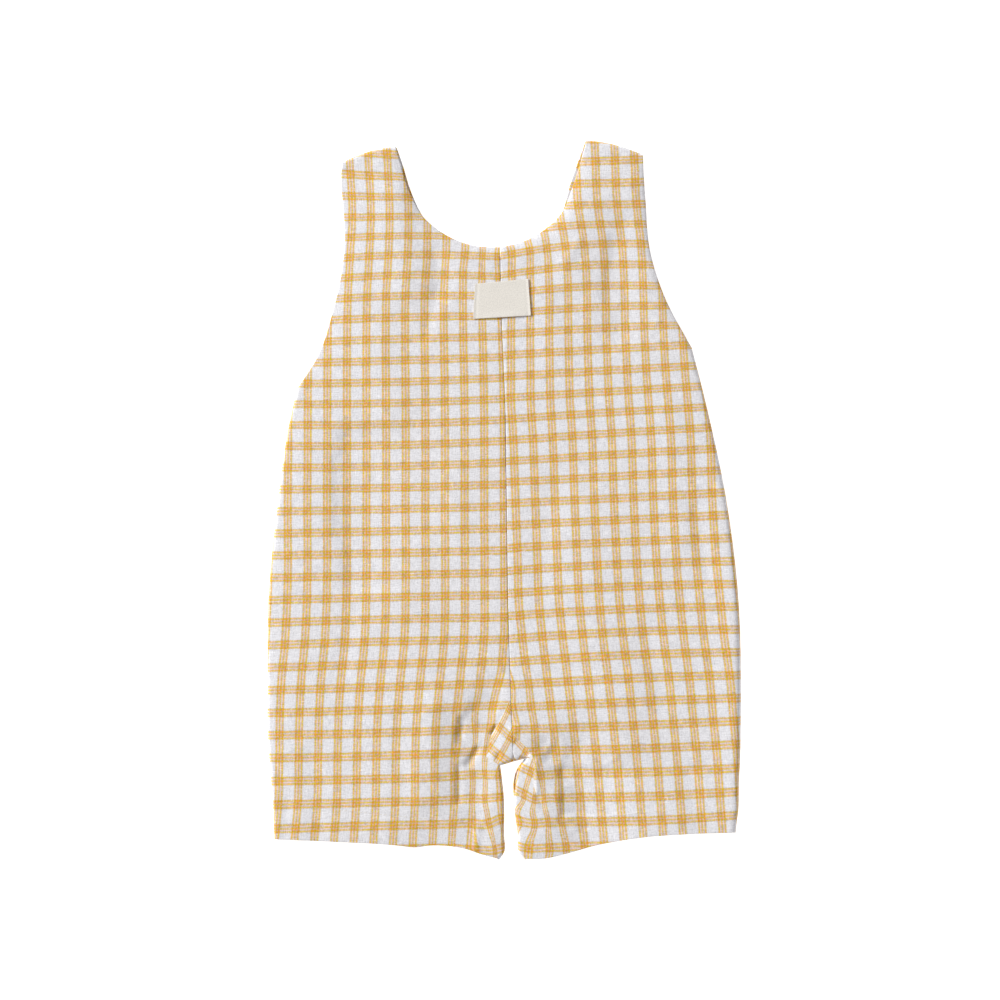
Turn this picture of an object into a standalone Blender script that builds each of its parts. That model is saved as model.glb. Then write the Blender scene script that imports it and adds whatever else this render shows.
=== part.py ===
"""A baby's sleeveless one-piece dungarees with short legs, laid flat with the front facing up.

Blender 4.5, metres, +Z up. The neck points along +Y and the hems along -Y. The origin is the
middle of the outline, on the surface that the garment lies on. Left and right are the wearer's,
so the right half lies at -X.

Each panel is one wall of cloth through cross sections: a table gives every section's inner end
(inseam, crotch, centre seam or neckline) and outer end (side seam or armhole), smooth curves
join them, and rows of points cross the cloth between the two. Round a closed edge the front
rolls down and the back rolls up, and they meet face to face half way.
"""

from collections import namedtuple

import bpy
import numpy as np

MM = 0.001

# Driving sizes, in millimetres.
WALL = 1.2  # one layer of cloth
GAP = 0.3  # clearance where two pieces are sewn together
ROLL = 1.65  # outer radius of the cloth where it turns round a closed edge
SEAM_LEVEL = ROLL + GAP / 2  # height of the line where front and back meet
EDGE_TOP = SEAM_LEVEL + GAP / 2 + ROLL  # top of the front just inside a closed edge
LOWEST_TOP = 2 * WALL + GAP  # top of the front where it lies on the back
LOFT = 1.7  # how far the middle of the front lifts off the back
# How far in from each edge the front takes to lift.
LOFT_REACH = {
    "side": 26.0,
    "inseam": 16.0,
    "armhole": 20.0,
    "neckline": 20.0,
    "hem": 20.0,
    "shoulder": 20.0,
}
OPEN_EDGE_DROP = 0.8  # how far the front sinks at its open edges
OPEN_EDGE_REACH = 9.0
CENTRE_GROOVE = 0.45  # dip of the cloth along the centre front seam
GROOVE_REACH = 2.2
FOLD_START = 4.0  # folds die out this near a closed edge
HEM_BOW_REACH = 22.0  # how far up the leg the curve of the hem fades out
CROTCH_BEND = 4.0  # how far the rows beside the crotch bend up, so that none lies along its edge
CROTCH_BEND_ROWS = 3
CROTCH_BEND_START = 5.0  # how far from the inseam that bend has set in
CROTCH_BEND_END = 40.0  # and how far from it the bend fades
PART_CLOSED = 0.4  # how far the row next to a closed stretch of edge still rolls
SHOULDER_BOW = 1.2
SHOULDER_BOW_REACH = 12.0
BACK_ARMHOLE_INSET = 1.2  # the back armhole lies just inside the front's
LABEL_WIDTH = 31.0
LABEL_HEIGHT = 21.0
LABEL_WALL = 1.0
LABEL_COLUMNS = 7
LABEL_ROWS = 5
LABEL_TURN = 4.5  # degrees
LABEL_CENTRE = (-1.3, 117.0)

# Steps of the roll round a closed edge, in degrees from the seam to the top of the cloth.
ROLL_STEPS = np.radians([0.0, 30.0, 60.0, 90.0])
# The same steps on an open edge, which is cut square: distances in from the edge.
OPEN_STEPS = np.array([0.0, 0.5, 1.0, ROLL])
# Shares of the way across, between the two edges' steps.
FRONT_SHARES = (0.03, 0.06, 0.095, 0.135, 0.18, 0.235, 0.31, 0.42, 0.56, 0.72, 0.88)
BACK_SHARES = (0.12, 0.5, 0.88)

# A row for each cross section, from hem to shoulder. The ends are in millimetres, and rows is
# the number of mesh rows up to the next section.
Section = namedtuple("Section", "name rows in_x in_y out_x out_y")
RIGHT_HALF = (
    Section("hem", 2, -2.6, -209.6, -133.7, -197.4),
    Section("turn up", 3, -0.2, -195.0, -134.5, -181.0),
    Section("leg", 3, 0.0, -174.0, -136.0, -164.0),
    Section("inseam top", 2, -2.2, -154.9, -137.2, -149.0),
    Section("crotch", 6, 5.6, -152.6, -137.8, -140.0),
    Section("thigh", 5, 4.1, -116.5, -138.0, -108.0),
    Section("hip", 5, 2.4, -62.0, -137.6, -60.0),
    Section("waist", 5, 1.5, 0.0, -131.2, 0.0),
    Section("underarm", 2, 0.6, 58.0, -119.0, 65.2),
    Section("armhole", 2, -0.3, 81.0, -107.2, 85.5),
    Section("chest", 3, -1.4, 106.0, -99.9, 107.0),
    Section("neck", 3, -2.3, 146.9, -93.2, 138.5),
    Section("neck floor", 3, -18.0, 147.8, -92.8, 150.0),
    Section("neck curve", 3, -34.6, 154.0, -93.2, 161.0),
    Section("neck side", 3, -47.6, 164.4, -94.1, 171.0),
    Section("strap", 2, -55.4, 180.0, -94.8, 181.5),
    Section("strap top", 0, -60.6, 196.5, -94.9, 190.5),
    Section("shoulder", 0, -63.3, 206.2, -93.9, 197.6),
)
LEFT_HALF = (
    Section("hem", 2, 12.0, -209.6, 135.3, -193.6),
    Section("turn up", 3, 8.6, -195.0, 136.9, -179.5),
    Section("leg", 2, 6.4, -174.0, 137.1, -166.0),
    Section("upper leg", 2, 6.8, -159.5, 137.7, -153.5),
    Section("inseam top", 1, 9.6, -153.0, 138.0, -146.0),
    Section("crotch", 6, 5.6, -152.6, 138.1, -138.0),
    Section("thigh", 5, 4.1, -116.5, 138.3, -108.0),
    Section("hip", 5, 2.4, -62.0, 137.0, -60.0),
    Section("waist", 5, 1.5, 0.0, 129.8, 0.0),
    Section("high waist", 3, 0.6, 58.0, 117.0, 60.0),
    Section("underarm", 3, -1.3, 104.0, 109.6, 89.0),
    Section("neck", 3, -2.3, 146.9, 88.2, 138.0),
    Section("neck floor", 3, 9.5, 149.0, 84.8, 148.5),
    Section("neck curve", 3, 23.0, 157.2, 83.4, 159.5),
    Section("neck side", 3, 34.4, 168.6, 82.8, 170.5),
    Section("strap", 2, 41.6, 183.5, 81.8, 184.0),
    Section("strap top", 0, 46.0, 202.0, 81.2, 195.0),
    Section("shoulder", 0, 48.2, 209.8, 81.0, 201.6),
)
# Where an edge turns a corner, by section.
INNER_CORNERS = ("hem", "inseam top", "crotch", "neck", "shoulder")
OUTER_CORNERS = ("hem", "underarm", "shoulder")

# How far the back's neckline lies from the front's: towards the centre line, on each half, and
# up. The back shows as a sliver inside both straps.
NeckShift = namedtuple("NeckShift", "section right_in left_in up")
BACK_NECK = (
    NeckShift("neck", 0.0, 0.0, -7.0),
    NeckShift("neck floor", 0.0, 0.0, -6.5),
    NeckShift("neck curve", -0.5, -0.5, -4.0),
    NeckShift("neck side", 0.3, 0.8, -0.4),
    NeckShift("strap", 1.5, 2.4, 0.2),
    NeckShift("strap top", 1.5, 1.6, 0.2),
    NeckShift("shoulder", 0.5, 0.5, 0.0),
)

# How far each hem lies above the straight line between its two corners.
HemBow = namedtuple("HemBow", "share rise")
RIGHT_HEM = (
    HemBow(0.0, 0.0),
    HemBow(0.07, 1.6),
    HemBow(0.14, 3.9),
    HemBow(0.24, 4.9),
    HemBow(0.42, 3.1),
    HemBow(0.75, 1.8),
    HemBow(1.0, 0.0),
)
LEFT_HEM = (
    HemBow(0.0, 0.0),
    HemBow(0.1, -0.8),
    HemBow(0.2, 0.4),
    HemBow(0.34, 2.6),
    HemBow(0.55, 3.7),
    HemBow(0.77, 2.4),
    HemBow(1.0, 0.0),
)

Half = namedtuple("Half", "name side sections hem")
RIGHT = Half("right", -1, RIGHT_HALF, RIGHT_HEM)
LEFT = Half("left", 1, LEFT_HALF, LEFT_HEM)

# Soft ridges and troughs of the front, each along a line: a rise below 0 is a trough.
Fold = namedtuple("Fold", "name x0 y0 x1 y1 rise spread")
FOLDS = (
    Fold("right crotch trough, upper", -9.0, -106.0, -26.0, -131.0, -1.5, 6.0),
    Fold("right crotch trough, lower", -26.0, -131.0, -34.0, -152.0, -1.9, 6.5),
    Fold("right thigh ridge, upper", -1.0, -119.0, -11.5, -138.0, 2.2, 4.0),
    Fold("right thigh ridge, lower", -12.5, -142.0, -16.5, -201.0, 2.8, 5.0),
    Fold("right leg trough", -33.0, -158.0, -35.0, -200.0, -0.9, 6.0),
    Fold("right inner thigh hollow", -3.0, -131.0, -5.5, -149.0, -1.6, 3.4),
    Fold("left thigh ridge, upper", 6.5, -136.0, 17.0, -149.0, 2.0, 3.6),
    Fold("left thigh ridge, lower", 18.0, -151.0, 25.5, -184.0, 3.0, 4.6),
    Fold("left leg trough", 28.0, -147.0, 36.0, -200.0, -1.7, 6.5),
    Fold("left outer leg swell", 62.0, -120.0, 70.0, -200.0, 1.0, 16.0),
    Fold("right outer leg swell", -72.0, -120.0, -66.0, -200.0, 0.8, 18.0),
    Fold("right side trough", -104.0, 8.0, -101.0, -70.0, -1.0, 9.0),
    Fold("left strap swell", 58.0, 160.0, 52.0, 138.0, 1.0, 9.0),
    Fold("right strap swell", -74.0, 176.0, -60.0, 140.0, 0.8, 10.0),
    Fold("left chest trough", 84.0, 128.0, 62.0, 60.0, -0.8, 12.0),
    Fold("right hip swell", -60.0, -40.0, -40.0, -110.0, 0.9, 20.0),
    Fold("left hip swell", 46.0, -20.0, 60.0, -110.0, 0.9, 20.0),
)

CLOTH_COLOUR = (0.78, 0.64, 0.42)
LABEL_COLOUR = (0.88, 0.84, 0.76)
CLOTH_ROUGHNESS = 0.9
LABEL_ROUGHNESS = 0.8
SHARP_ANGLE = np.radians(50.0)  # edges that turn more than this are shaded as corners


def smooth_path(points, corners, steps, last):
    """A curve through the points, as cubic pieces whose slope at a point is the mean of its two
    chords, and at a corner carries the piece's own bend on. steps gives the rows of each piece,
    and last the distances from the end at which the final rows lie."""
    points = np.array(points)
    chords = np.diff(points, axis=0)
    lengths = np.linalg.norm(chords, axis=1)
    slopes = chords / lengths[:, None]
    path = []
    for piece, count in enumerate(steps):
        length = lengths[piece]
        leave = arrive = slopes[piece]
        if piece not in corners:
            leave = slopes[piece - 1] * length + slopes[piece] * lengths[piece - 1]
            leave = leave / (length + lengths[piece - 1])
        if piece + 1 not in corners:
            arrive = slopes[piece + 1] * length + slopes[piece] * lengths[piece + 1]
            arrive = arrive / (length + lengths[piece + 1])
        if piece in corners:
            leave = 1.5 * slopes[piece] - 0.5 * arrive
        elif piece + 1 in corners:
            arrive = 1.5 * slopes[piece] - 0.5 * leave
        share = np.arange(count) / max(count, 1)
        if piece == len(steps) - 1:
            share = 1 - last / length
        share = share[:, None]
        path.append(
            (2 * share**3 - 3 * share**2 + 1) * points[piece]
            + (share**3 - 2 * share**2 + share) * length * leave
            + (3 * share**2 - 2 * share**3) * points[piece + 1]
            + (share**3 - share**2) * length * arrive
        )
    return np.vstack(path)


def corner_rows(sections, names):
    return [row for row, section in enumerate(sections) if section.name in names]


def mesh_row(sections, name):
    """The mesh row on which the named section lies."""
    names = [section.name for section in sections]
    return sum(section.rows for section in sections[: names.index(name)])


def inward_normals(path, side):
    """Unit normals of an edge, pointing into a panel that lies to its left (1) or right (-1)."""
    along = np.gradient(path, axis=0)
    along = along / np.linalg.norm(along, axis=1)[:, None]
    return side * np.stack([-along[:, 1], along[:, 0]], axis=1)


def edge_ends(sections, side, is_back):
    """The sections' inner and outer ends, with the seam clearance and the back's own neckline."""
    inner = np.array([(section.in_x, section.in_y) for section in sections])
    outer = np.array([(section.out_x, section.out_y) for section in sections])
    names = [section.name for section in sections]
    for row in range(names.index("crotch"), names.index("neck") + 1):
        inner[row, 0] += side * GAP / 2
    if is_back:
        for shift in BACK_NECK:
            inward = shift.right_in if side < 0 else -shift.left_in
            inner[names.index(shift.section)] += (inward, shift.up)
        for row in range(names.index("underarm") + 1, len(names) - 1):
            outer[row, 0] -= side * BACK_ARMHOLE_INSET
    return inner, outer


def closed_shares(sections, rows):
    """How far each row's inner and outer edge is closed: 1 where front and back are sewn
    together, 0 where the edge is open, and partly on one row between."""
    shares = []
    for last_closed in ("crotch", "underarm"):
        share = np.zeros(rows)
        end = mesh_row(sections, last_closed)
        share[: end + 1] = 1.0
        share[end + 1] = PART_CLOSED
        shares.append(share[:, None])
    return shares


def crosswise(inner, outer, normals, insets, shares):
    """Points of every row: steps in from the inner edge, shares of the way across, steps in
    from the outer edge."""
    from_inner = inner[:, None] + normals[0][:, None] * insets[0][..., None]
    from_outer = outer[:, None] + normals[1][:, None] * insets[1][..., None]
    start = from_inner[:, -1:]
    end = from_outer[:, -1:]
    across = start + (end - start) * np.array(shares)[None, :, None]
    return np.concatenate([from_inner, across, from_outer[:, ::-1]], axis=1)


def bent_rows(points, sections):
    """Bends the rows beside the crotch up, most at the crotch's own row."""
    row = np.arange(len(points))[:, None]
    crotch = mesh_row(sections, "crotch")
    below = crotch - mesh_row(sections, "inseam top")
    weight = np.where(row < crotch, 1 - (crotch - row) / below, 1 - (row - crotch) / CROTCH_BEND_ROWS)
    away = np.linalg.norm(points - points[:, :1], axis=2)
    bend = np.exp(-away / CROTCH_BEND_END) - np.exp(-away / CROTCH_BEND_START)
    bent = points.copy()
    bent[..., 1] += CROTCH_BEND * bend * np.clip(weight, 0, 1)
    return bent


def bowed(points, hem):
    """Lifts the hem and the shoulder off the straight lines between their corners."""
    span = np.linalg.norm(points[:, -1] - points[:, 0], axis=1)[:, None]
    share = np.linalg.norm(points - points[:, :1], axis=2) / span
    rise = np.interp(share, [bow.share for bow in hem], [bow.rise for bow in hem])
    above_hem = points[..., 1] - points[:1, :, 1]
    fade = np.clip(1 - above_hem / HEM_BOW_REACH, 0, 1)
    below_top = points[-1:, :, 1] - points[..., 1]
    top_fade = np.clip(1 - below_top / SHOULDER_BOW_REACH, 0, 1)
    lifted = points.copy()
    lifted[..., 1] += rise * fade**2 + 4 * SHOULDER_BOW * share * (1 - share) * top_fade
    return lifted


def settle(distance, reach):
    """0 at an edge, rising to 1 over about three reaches."""
    return 1 - np.exp(-np.maximum(distance, 0) / reach)


def near(distance, reach):
    """1 at an edge, falling to 0 over about two reaches."""
    return np.exp(-((np.maximum(distance, 0) / reach) ** 2))


def fold_height(points):
    """The sum of the folds: each falls off on both sides of its line as a bell curve, and fades
    at both ends."""
    x, y = points[..., 0], points[..., 1]
    total = np.zeros_like(x)
    for fold in FOLDS:
        along = np.array([fold.x1 - fold.x0, fold.y1 - fold.y0])
        length = np.hypot(*along)
        along = along / length
        distance = (x - fold.x0) * along[0] + (y - fold.y0) * along[1]
        beyond = np.maximum(np.maximum(-distance, distance - length), 0)
        off = (x - fold.x0) * along[1] - (y - fold.y0) * along[0]
        total += fold.rise * np.exp(-(off**2 + beyond**2) / fold.spread**2)
    return total


def panel_edges(points, sections):
    """The named edges of a panel, each as the row of its points."""
    crotch = mesh_row(sections, "crotch")
    underarm = mesh_row(sections, "underarm")
    neck = mesh_row(sections, "neck")
    return {
        "hem": points[0],
        "inseam": points[: crotch + 1, 0],
        "centre": points[crotch : neck + 1, 0],
        "neckline": points[neck:, 0],
        "side": points[: underarm + 1, -1],
        "armhole": points[underarm:, -1],
        "shoulder": points[-1],
    }


def distance_to(points, edge):
    """Each point's distance from a line of straight stretches."""
    start = edge[:-1]
    run = edge[1:] - start
    offset = points[:, :, None] - start
    share = np.clip((offset * run).sum(axis=3) / (run * run).sum(axis=1), 0, 1)
    return np.linalg.norm(offset - share[..., None] * run, axis=3).min(axis=2)


def edge_distances(points, edges):
    return {name: distance_to(points, edge) for name, edge in edges.items()}


def front_top(points, away):
    """Height of the front's upper face: lifted in the middle, folded, sunk at its open edges
    and along the centre seam, and never lower than where it lies on the back."""
    lift = 1.0
    for edge, reach in LOFT_REACH.items():
        lift = lift * settle(away[edge], reach)
    from_closed = np.minimum(np.minimum(away["side"], away["inseam"]), away["shoulder"])
    clear = 1 - near(from_closed, OPEN_EDGE_REACH)
    open_edge = np.minimum(np.minimum(away["armhole"], away["neckline"]), away["hem"])
    height = EDGE_TOP + LOFT * lift
    height = height + fold_height(points) * (1 - near(from_closed, FOLD_START))
    height = height - OPEN_EDGE_DROP * near(open_edge, OPEN_EDGE_REACH) * clear
    height = height - CENTRE_GROOVE * near(away["centre"], GROOVE_REACH) * clear
    return np.maximum(height, LOWEST_TOP)


def skin(half, is_back, is_inner):
    """One face of a panel, as a grid of points: the outer face, or the face inside the garment,
    one wall away from it. Round a closed edge both run on quarter circles about one line."""
    sections, side, hem = half.sections, half.side, half.hem
    radius = ROLL - WALL if is_inner else ROLL
    start = WALL if is_inner else 0.0
    roll_in = start + radius * (1 - np.cos(ROLL_STEPS))
    shares = BACK_SHARES if is_back else FRONT_SHARES
    ends = edge_ends(sections, side, is_back)
    steps = [section.rows for section in sections[:-1]]
    inner, outer = (
        smooth_path(points, corner_rows(sections, corners), steps, roll_in[::-1])
        for points, corners in zip(ends, (INNER_CORNERS, OUTER_CORNERS))
    )
    normals = inward_normals(inner, -side), inward_normals(outer, side)
    closed = closed_shares(sections, len(inner))
    insets = [share * roll_in + (1 - share) * OPEN_STEPS for share in closed]
    points = crosswise(inner, outer, normals, insets, shares)
    points = bowed(bent_rows(points, sections), hem)
    away = edge_distances(points, panel_edges(points, sections))
    rise = rise_shares(points, closed)
    if is_back:
        flat = WALL if is_inner else 0.0
        height = flat * rise + (SEAM_LEVEL - GAP / 2) * (1 - rise)
    else:
        top = front_top(points, away) - (WALL if is_inner else 0.0)
        height = top * rise + (SEAM_LEVEL + GAP / 2) * (1 - rise)
    return np.concatenate([points, height[..., None]], axis=2) * MM


def rise_shares(points, closed):
    """How far each point has turned from the seam level (0) to the flat of the cloth (1)."""
    rise = np.ones(points.shape[:2])
    steps = len(ROLL_STEPS)
    rolled = np.sin(ROLL_STEPS)
    rise[:, :steps] = 1 - closed[0] * (1 - rolled)
    rise[:, -steps:] = 1 - closed[1] * (1 - rolled[::-1])
    rise[-steps:] *= rolled[::-1, None]
    return rise


def grid_faces(rows, columns, first, flip):
    """Quads of a grid whose points are numbered row by row from first."""
    number = first + np.arange(rows * columns).reshape(rows, columns)
    quads = np.stack([number[:-1, :-1], number[:-1, 1:], number[1:, 1:], number[1:, :-1]], axis=2)
    quads = quads.reshape(-1, 4)
    return quads[:, ::-1] if flip else quads


def rim_faces(rows, columns, flip):
    """Quads that join the borders of two equal grids, the second numbered after the first."""
    number = np.arange(rows * columns).reshape(rows, columns)
    border = np.concatenate([number[0, :-1], number[:-1, -1], number[-1, :0:-1], number[:0:-1, 0]])
    following = np.roll(border, -1)
    second = rows * columns
    quads = np.stack([following, border, border + second, following + second], axis=1)
    return quads[:, ::-1] if flip else quads


def shell_object(name, collection, outer, inner, flip, material):
    """A closed wall between two grids of points. flip turns its faces round."""
    rows, columns = outer.shape[:2]
    points = np.concatenate([outer.reshape(-1, 3), inner.reshape(-1, 3)])
    faces = np.concatenate(
        [
            grid_faces(rows, columns, 0, flip),
            grid_faces(rows, columns, rows * columns, not flip),
            rim_faces(rows, columns, flip),
        ]
    )
    mesh = bpy.data.meshes.new(name)
    mesh.from_pydata(points.tolist(), [], faces.tolist())
    mesh.shade_smooth()
    mesh.set_sharp_from_angle(angle=SHARP_ANGLE)
    mesh.materials.append(material)
    obj = bpy.data.objects.new(name, mesh)
    collection.objects.link(obj)
    return obj


def label_skin(lift):
    """The label's face on the front panels' own height, lifted clear of them. It bridges the
    groove of the centre seam."""
    turn = np.radians(LABEL_TURN)
    across = np.linspace(-0.5, 0.5, LABEL_COLUMNS) * LABEL_WIDTH
    up = np.linspace(-0.5, 0.5, LABEL_ROWS) * LABEL_HEIGHT
    u, v = np.meshgrid(across, up)
    x = LABEL_CENTRE[0] + u * np.cos(turn) - v * np.sin(turn)
    y = LABEL_CENTRE[1] + u * np.sin(turn) + v * np.cos(turn)
    points = np.stack([x, y], axis=2)
    beneath = skin(RIGHT, False, False)[..., :2] / MM
    away = edge_distances(points, panel_edges(beneath, RIGHT.sections))
    away["centre"] = np.full_like(x, np.inf)
    height = front_top(points, away) + lift
    return np.concatenate([points, height[..., None]], axis=2) * MM


def plain_material(name, colour, roughness):
    material = bpy.data.materials.new(name)
    material.use_nodes = True
    shader = material.node_tree.nodes["Principled BSDF"]
    shader.inputs["Base Color"].default_value = (*colour, 1.0)
    shader.inputs["Roughness"].default_value = roughness
    shader.inputs["Metallic"].default_value = 0.0
    return material


def clear_scene():
    for obj in list(bpy.data.objects):
        bpy.data.objects.remove(obj)


def main():
    clear_scene()
    collection = bpy.data.collections.new("dungarees")
    bpy.context.scene.collection.children.link(collection)
    for half in (RIGHT, LEFT):
        for panel in ("front", "back"):
            is_back = panel == "back"
            outer = skin(half, is_back, False)
            inner = skin(half, is_back, True)
            name = f"{panel}_{half.name}"
            material = plain_material(name + "_cloth", CLOTH_COLOUR, CLOTH_ROUGHNESS)
            shell_object(name, collection, outer, inner, (half.side < 0) != is_back, material)
    material = plain_material("label_tape", LABEL_COLOUR, LABEL_ROUGHNESS)
    shell_object(
        "label", collection, label_skin(GAP + LABEL_WALL), label_skin(GAP), False, material
    )


main()
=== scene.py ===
"""The looks of a baby's short dungarees in checked cotton, laid flat with the front facing up.

The neck points along +Y, the hems along -Y, and left and right are the wearer's, so the right
half lies at -X. Tables are in millimetres and meshes in metres. Each panel is one closed wall of
cloth: rows of points run from its inner edge (inseam, centre seam, neckline) to its outer edge
(side seam, armhole), and the front's height over the back is a sum of soft ridges and troughs.
The checks follow the cloth through a UV map that holds each point's place in the weave.
"""

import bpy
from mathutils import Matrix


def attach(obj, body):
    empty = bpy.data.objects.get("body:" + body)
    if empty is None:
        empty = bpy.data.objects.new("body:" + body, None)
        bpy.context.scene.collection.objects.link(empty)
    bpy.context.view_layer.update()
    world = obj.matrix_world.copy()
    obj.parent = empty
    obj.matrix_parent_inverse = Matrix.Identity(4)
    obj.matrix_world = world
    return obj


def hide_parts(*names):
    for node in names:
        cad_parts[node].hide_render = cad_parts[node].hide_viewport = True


bl_info = {
    "name": "Checked dungarees, laid flat",
    "version": (1, 0, 0),
    "blender": (4, 5, 0),
    "location": "3D View > Sidebar > Dungarees",
    "description": "Cloth panels, label, stitches and studio of a pair of baby dungarees",
    "category": "Object",
}

from collections import namedtuple

import bpy
import numpy as np
from bpy.props import FloatProperty, FloatVectorProperty, PointerProperty

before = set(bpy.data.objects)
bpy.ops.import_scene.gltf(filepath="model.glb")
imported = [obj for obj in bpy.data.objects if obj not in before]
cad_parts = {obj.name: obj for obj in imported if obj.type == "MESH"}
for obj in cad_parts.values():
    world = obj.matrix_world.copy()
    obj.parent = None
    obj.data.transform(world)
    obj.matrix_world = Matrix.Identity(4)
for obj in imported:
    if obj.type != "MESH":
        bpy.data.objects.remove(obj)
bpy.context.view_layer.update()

MM = 0.001


def table(row, *rows):
    """Rows of values with the named columns of a namedtuple."""
    return tuple(row(*values) for values in rows)


# A row for each cross section, from hem to shoulder: its inner and its outer end.
Section = namedtuple("Section", "name in_x in_y out_x out_y")
RIGHT_HALF = table(
    Section,
    ("hem", -2.9, -210, -134.2, -197.9),
    ("hem corner", 0.1, -205.6, -134.4, -191.8),
    ("turn up", 0.1, -195, -134.9, -181),
    ("leg", 0, -174, -136, -164),
    ("inseam top", -2.2, -154.9, -137.2, -149),
    ("crotch", 5.6, -152.6, -137.8, -140),
    ("thigh", 4.1, -116.5, -138, -108),
    ("hip", 2.4, -62, -137.6, -60),
    ("waist", 1.5, 0, -131.9, 0),
    ("high waist", 1, 32, -127.4, 34),
    ("underarm", 0.6, 60, -120.6, 65.4),
    ("armhole", -0.3, 83, -108.2, 84.5),
    ("chest", -1.4, 106, -100.6, 107),
    ("neck", -2.3, 147.4, -93.9, 138.5),
    ("neck floor", -18, 148.4, -92.9, 150),
    ("neck curve", -34, 154.6, -93.1, 161),
    ("neck side", -46.8, 164.7, -93.8, 171),
    ("strap", -55.4, 180, -94.8, 181.5),
    ("strap top", -60.6, 196.5, -94.9, 190.5),
    ("shoulder", -63.3, 206.2, -93.9, 197.6),
)
LEFT_HALF = table(
    Section,
    ("hem", 12, -210, 135.3, -194),
    ("hem corner", 8.7, -205.6, 135.8, -188.8),
    ("turn up", 7.8, -195, 136.9, -179.5),
    ("leg", 5.6, -174, 137.1, -166),
    ("upper leg", 6.3, -159.5, 137.7, -153.5),
    ("inseam top", 12.2, -150.8, 138, -146),
    ("crotch", 5.6, -152.6, 138.1, -138),
    ("thigh", 4.1, -116.5, 138.3, -108),
    ("hip", 2.4, -62, 137, -60),
    ("waist", 1.5, 0, 129.8, 0),
    ("high waist", 0.6, 58, 117, 60),
    ("underarm", -1.1, 96, 109.6, 89),
    ("chest", -1.8, 120, 92.8, 120.5),
    ("neck", -2.3, 147.4, 86.9, 138),
    ("neck floor", 9.5, 150.1, 84.6, 148.5),
    ("neck curve", 23, 157.2, 83.4, 159.5),
    ("neck side", 34.4, 168.6, 82.8, 170.5),
    ("strap", 40.3, 183.5, 81.8, 184),
    ("strap top", 46, 202, 81.2, 195),
    ("shoulder", 48.2, 209.8, 81, 201.6),
)
INNER_CORNERS = ("hem", "inseam top", "crotch", "neck", "shoulder")
OUTER_CORNERS = ("hem", "underarm", "shoulder")

# How far the back's neckline lies from the front's, towards the centre line and up.
NeckShift = namedtuple("NeckShift", "section right_in left_in up")
BACK_NECK = table(
    NeckShift,
    ("neck", 0, 0, -7),
    ("neck floor", 0, 0, -6.5),
    ("neck curve", -0.5, -0.5, -4),
    ("neck side", 0.3, 0.4, -0.4),
    ("strap", 1.1, 2, 0.2),
    ("strap top", 1.2, 1.1, 0.2),
    ("shoulder", 0.5, 0.5, 0),
)
BACK_ARMHOLE_INSET = 1.2

# How far each hem lies above the straight line between its two corners.
HemBow = namedtuple("HemBow", "share rise")
RIGHT_HEM = table(
    HemBow,
    (0, 0), (0.07, 1.6), (0.14, 3.9), (0.24, 4.9), (0.31, 4.2), (0.37, 2.5), (0.45, 2.7), (0.75, 1.5),
    (1, 0),
)
LEFT_HEM = table(
    HemBow,
    (0, 0), (0.1, -1.3), (0.2, -0.1), (0.34, 2.4), (0.55, 3.7), (0.77, 2.4), (1, 0),
)
HEM_BOW_REACH = 22
SHOULDER_BOW = 1.9
SHOULDER_BOW_REACH = 12

# How the cloth lies on each half, at heights from shoulder to hem: how far the lengthwise
# stripes lie outwards of a straight run, near the seam and near the side, and how far the
# crosswise stripes lie below an even run, at the inner, middle and outer columns.
Grain = namedtuple("Grain", "height warp_in warp_out weft_in weft_mid weft_out")
RIGHT_GRAIN = table(
    Grain,
    (203, -1.6, 1.6, 7.5, 6.2, 1.4),
    (190, -1.2, 2.6, 6.5, 6.6, 2.3),
    (165, -0.4, 3.7, 4.6, 4.9, 5.2),
    (143, 0.3, 2.1, 2.6, 2.2, 6),
    (119, -1.2, 0.8, 0.8, 0.9, 4),
    (94, -0.9, 0.2, -0.3, 0.9, 2.8),
    (69, -0.3, 0, -0.9, 0.8, 1.8),
    (32, 0, 0, -1.7, 0, 0.6),
    (-6, 0, -0.2, -1.4, -0.3, 0.9),
    (-44, 0.2, -0.1, -0.5, 0.6, 1.8),
    (-83, -0.3, -1.5, 0.8, 1.5, 3.2),
    (-105, -2.6, -3.6, 1.3, 2.6, 4.3),
    (-125, -4.8, -4.8, 2, 3.7, 5.4),
    (-151, -6.3, -5.4, 3.5, 5.4, 6.8),
    (-175, -6.3, -5.8, 6.2, 7.2, 8.6),
    (-198, -7, -7.6, 8.8, 9.3, 11),
)
LEFT_GRAIN = table(
    Grain,
    (198, -7.6, -8.3, -2, -2.7, -5.4),
    (172, -6.5, -7, -1, -2.1, -3.6),
    (149, -2, -5.2, 1.4, -4.4, -1.8),
    (125, 0.2, -4.2, -0.5, -5, -3.5),
    (100, 0, -3.2, -2.1, -5.5, -7.6),
    (72, 0, -1.3, -2.6, -5.6, -8.9),
    (58, 0, 0, -2.7, -5.9, -9.3),
    (38, 1.2, 1.6, -2.9, -6.4, -9.9),
    (0, 2.6, 2.9, -3.8, -6.1, -9),
    (-38, 3.9, 5.2, -2.3, -5.2, -7),
    (-58, 4.4, 7, -1.3, -4.3, -6),
    (-78, 6.2, 9, -0.2, -3.2, -4.9),
    (-105, 9.3, 12.5, 1.6, -1.1, -3.1),
    (-128, 12.2, 14.6, 2.6, 0.9, -1.3),
    (-151, 14.6, 16.9, 3.1, 2.6, 0.7),
    (-175, 17, 18.7, 4.6, 5.2, 3.2),
    (-198, 19.2, 20.5, 6.6, 8, 5.6),
)

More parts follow.
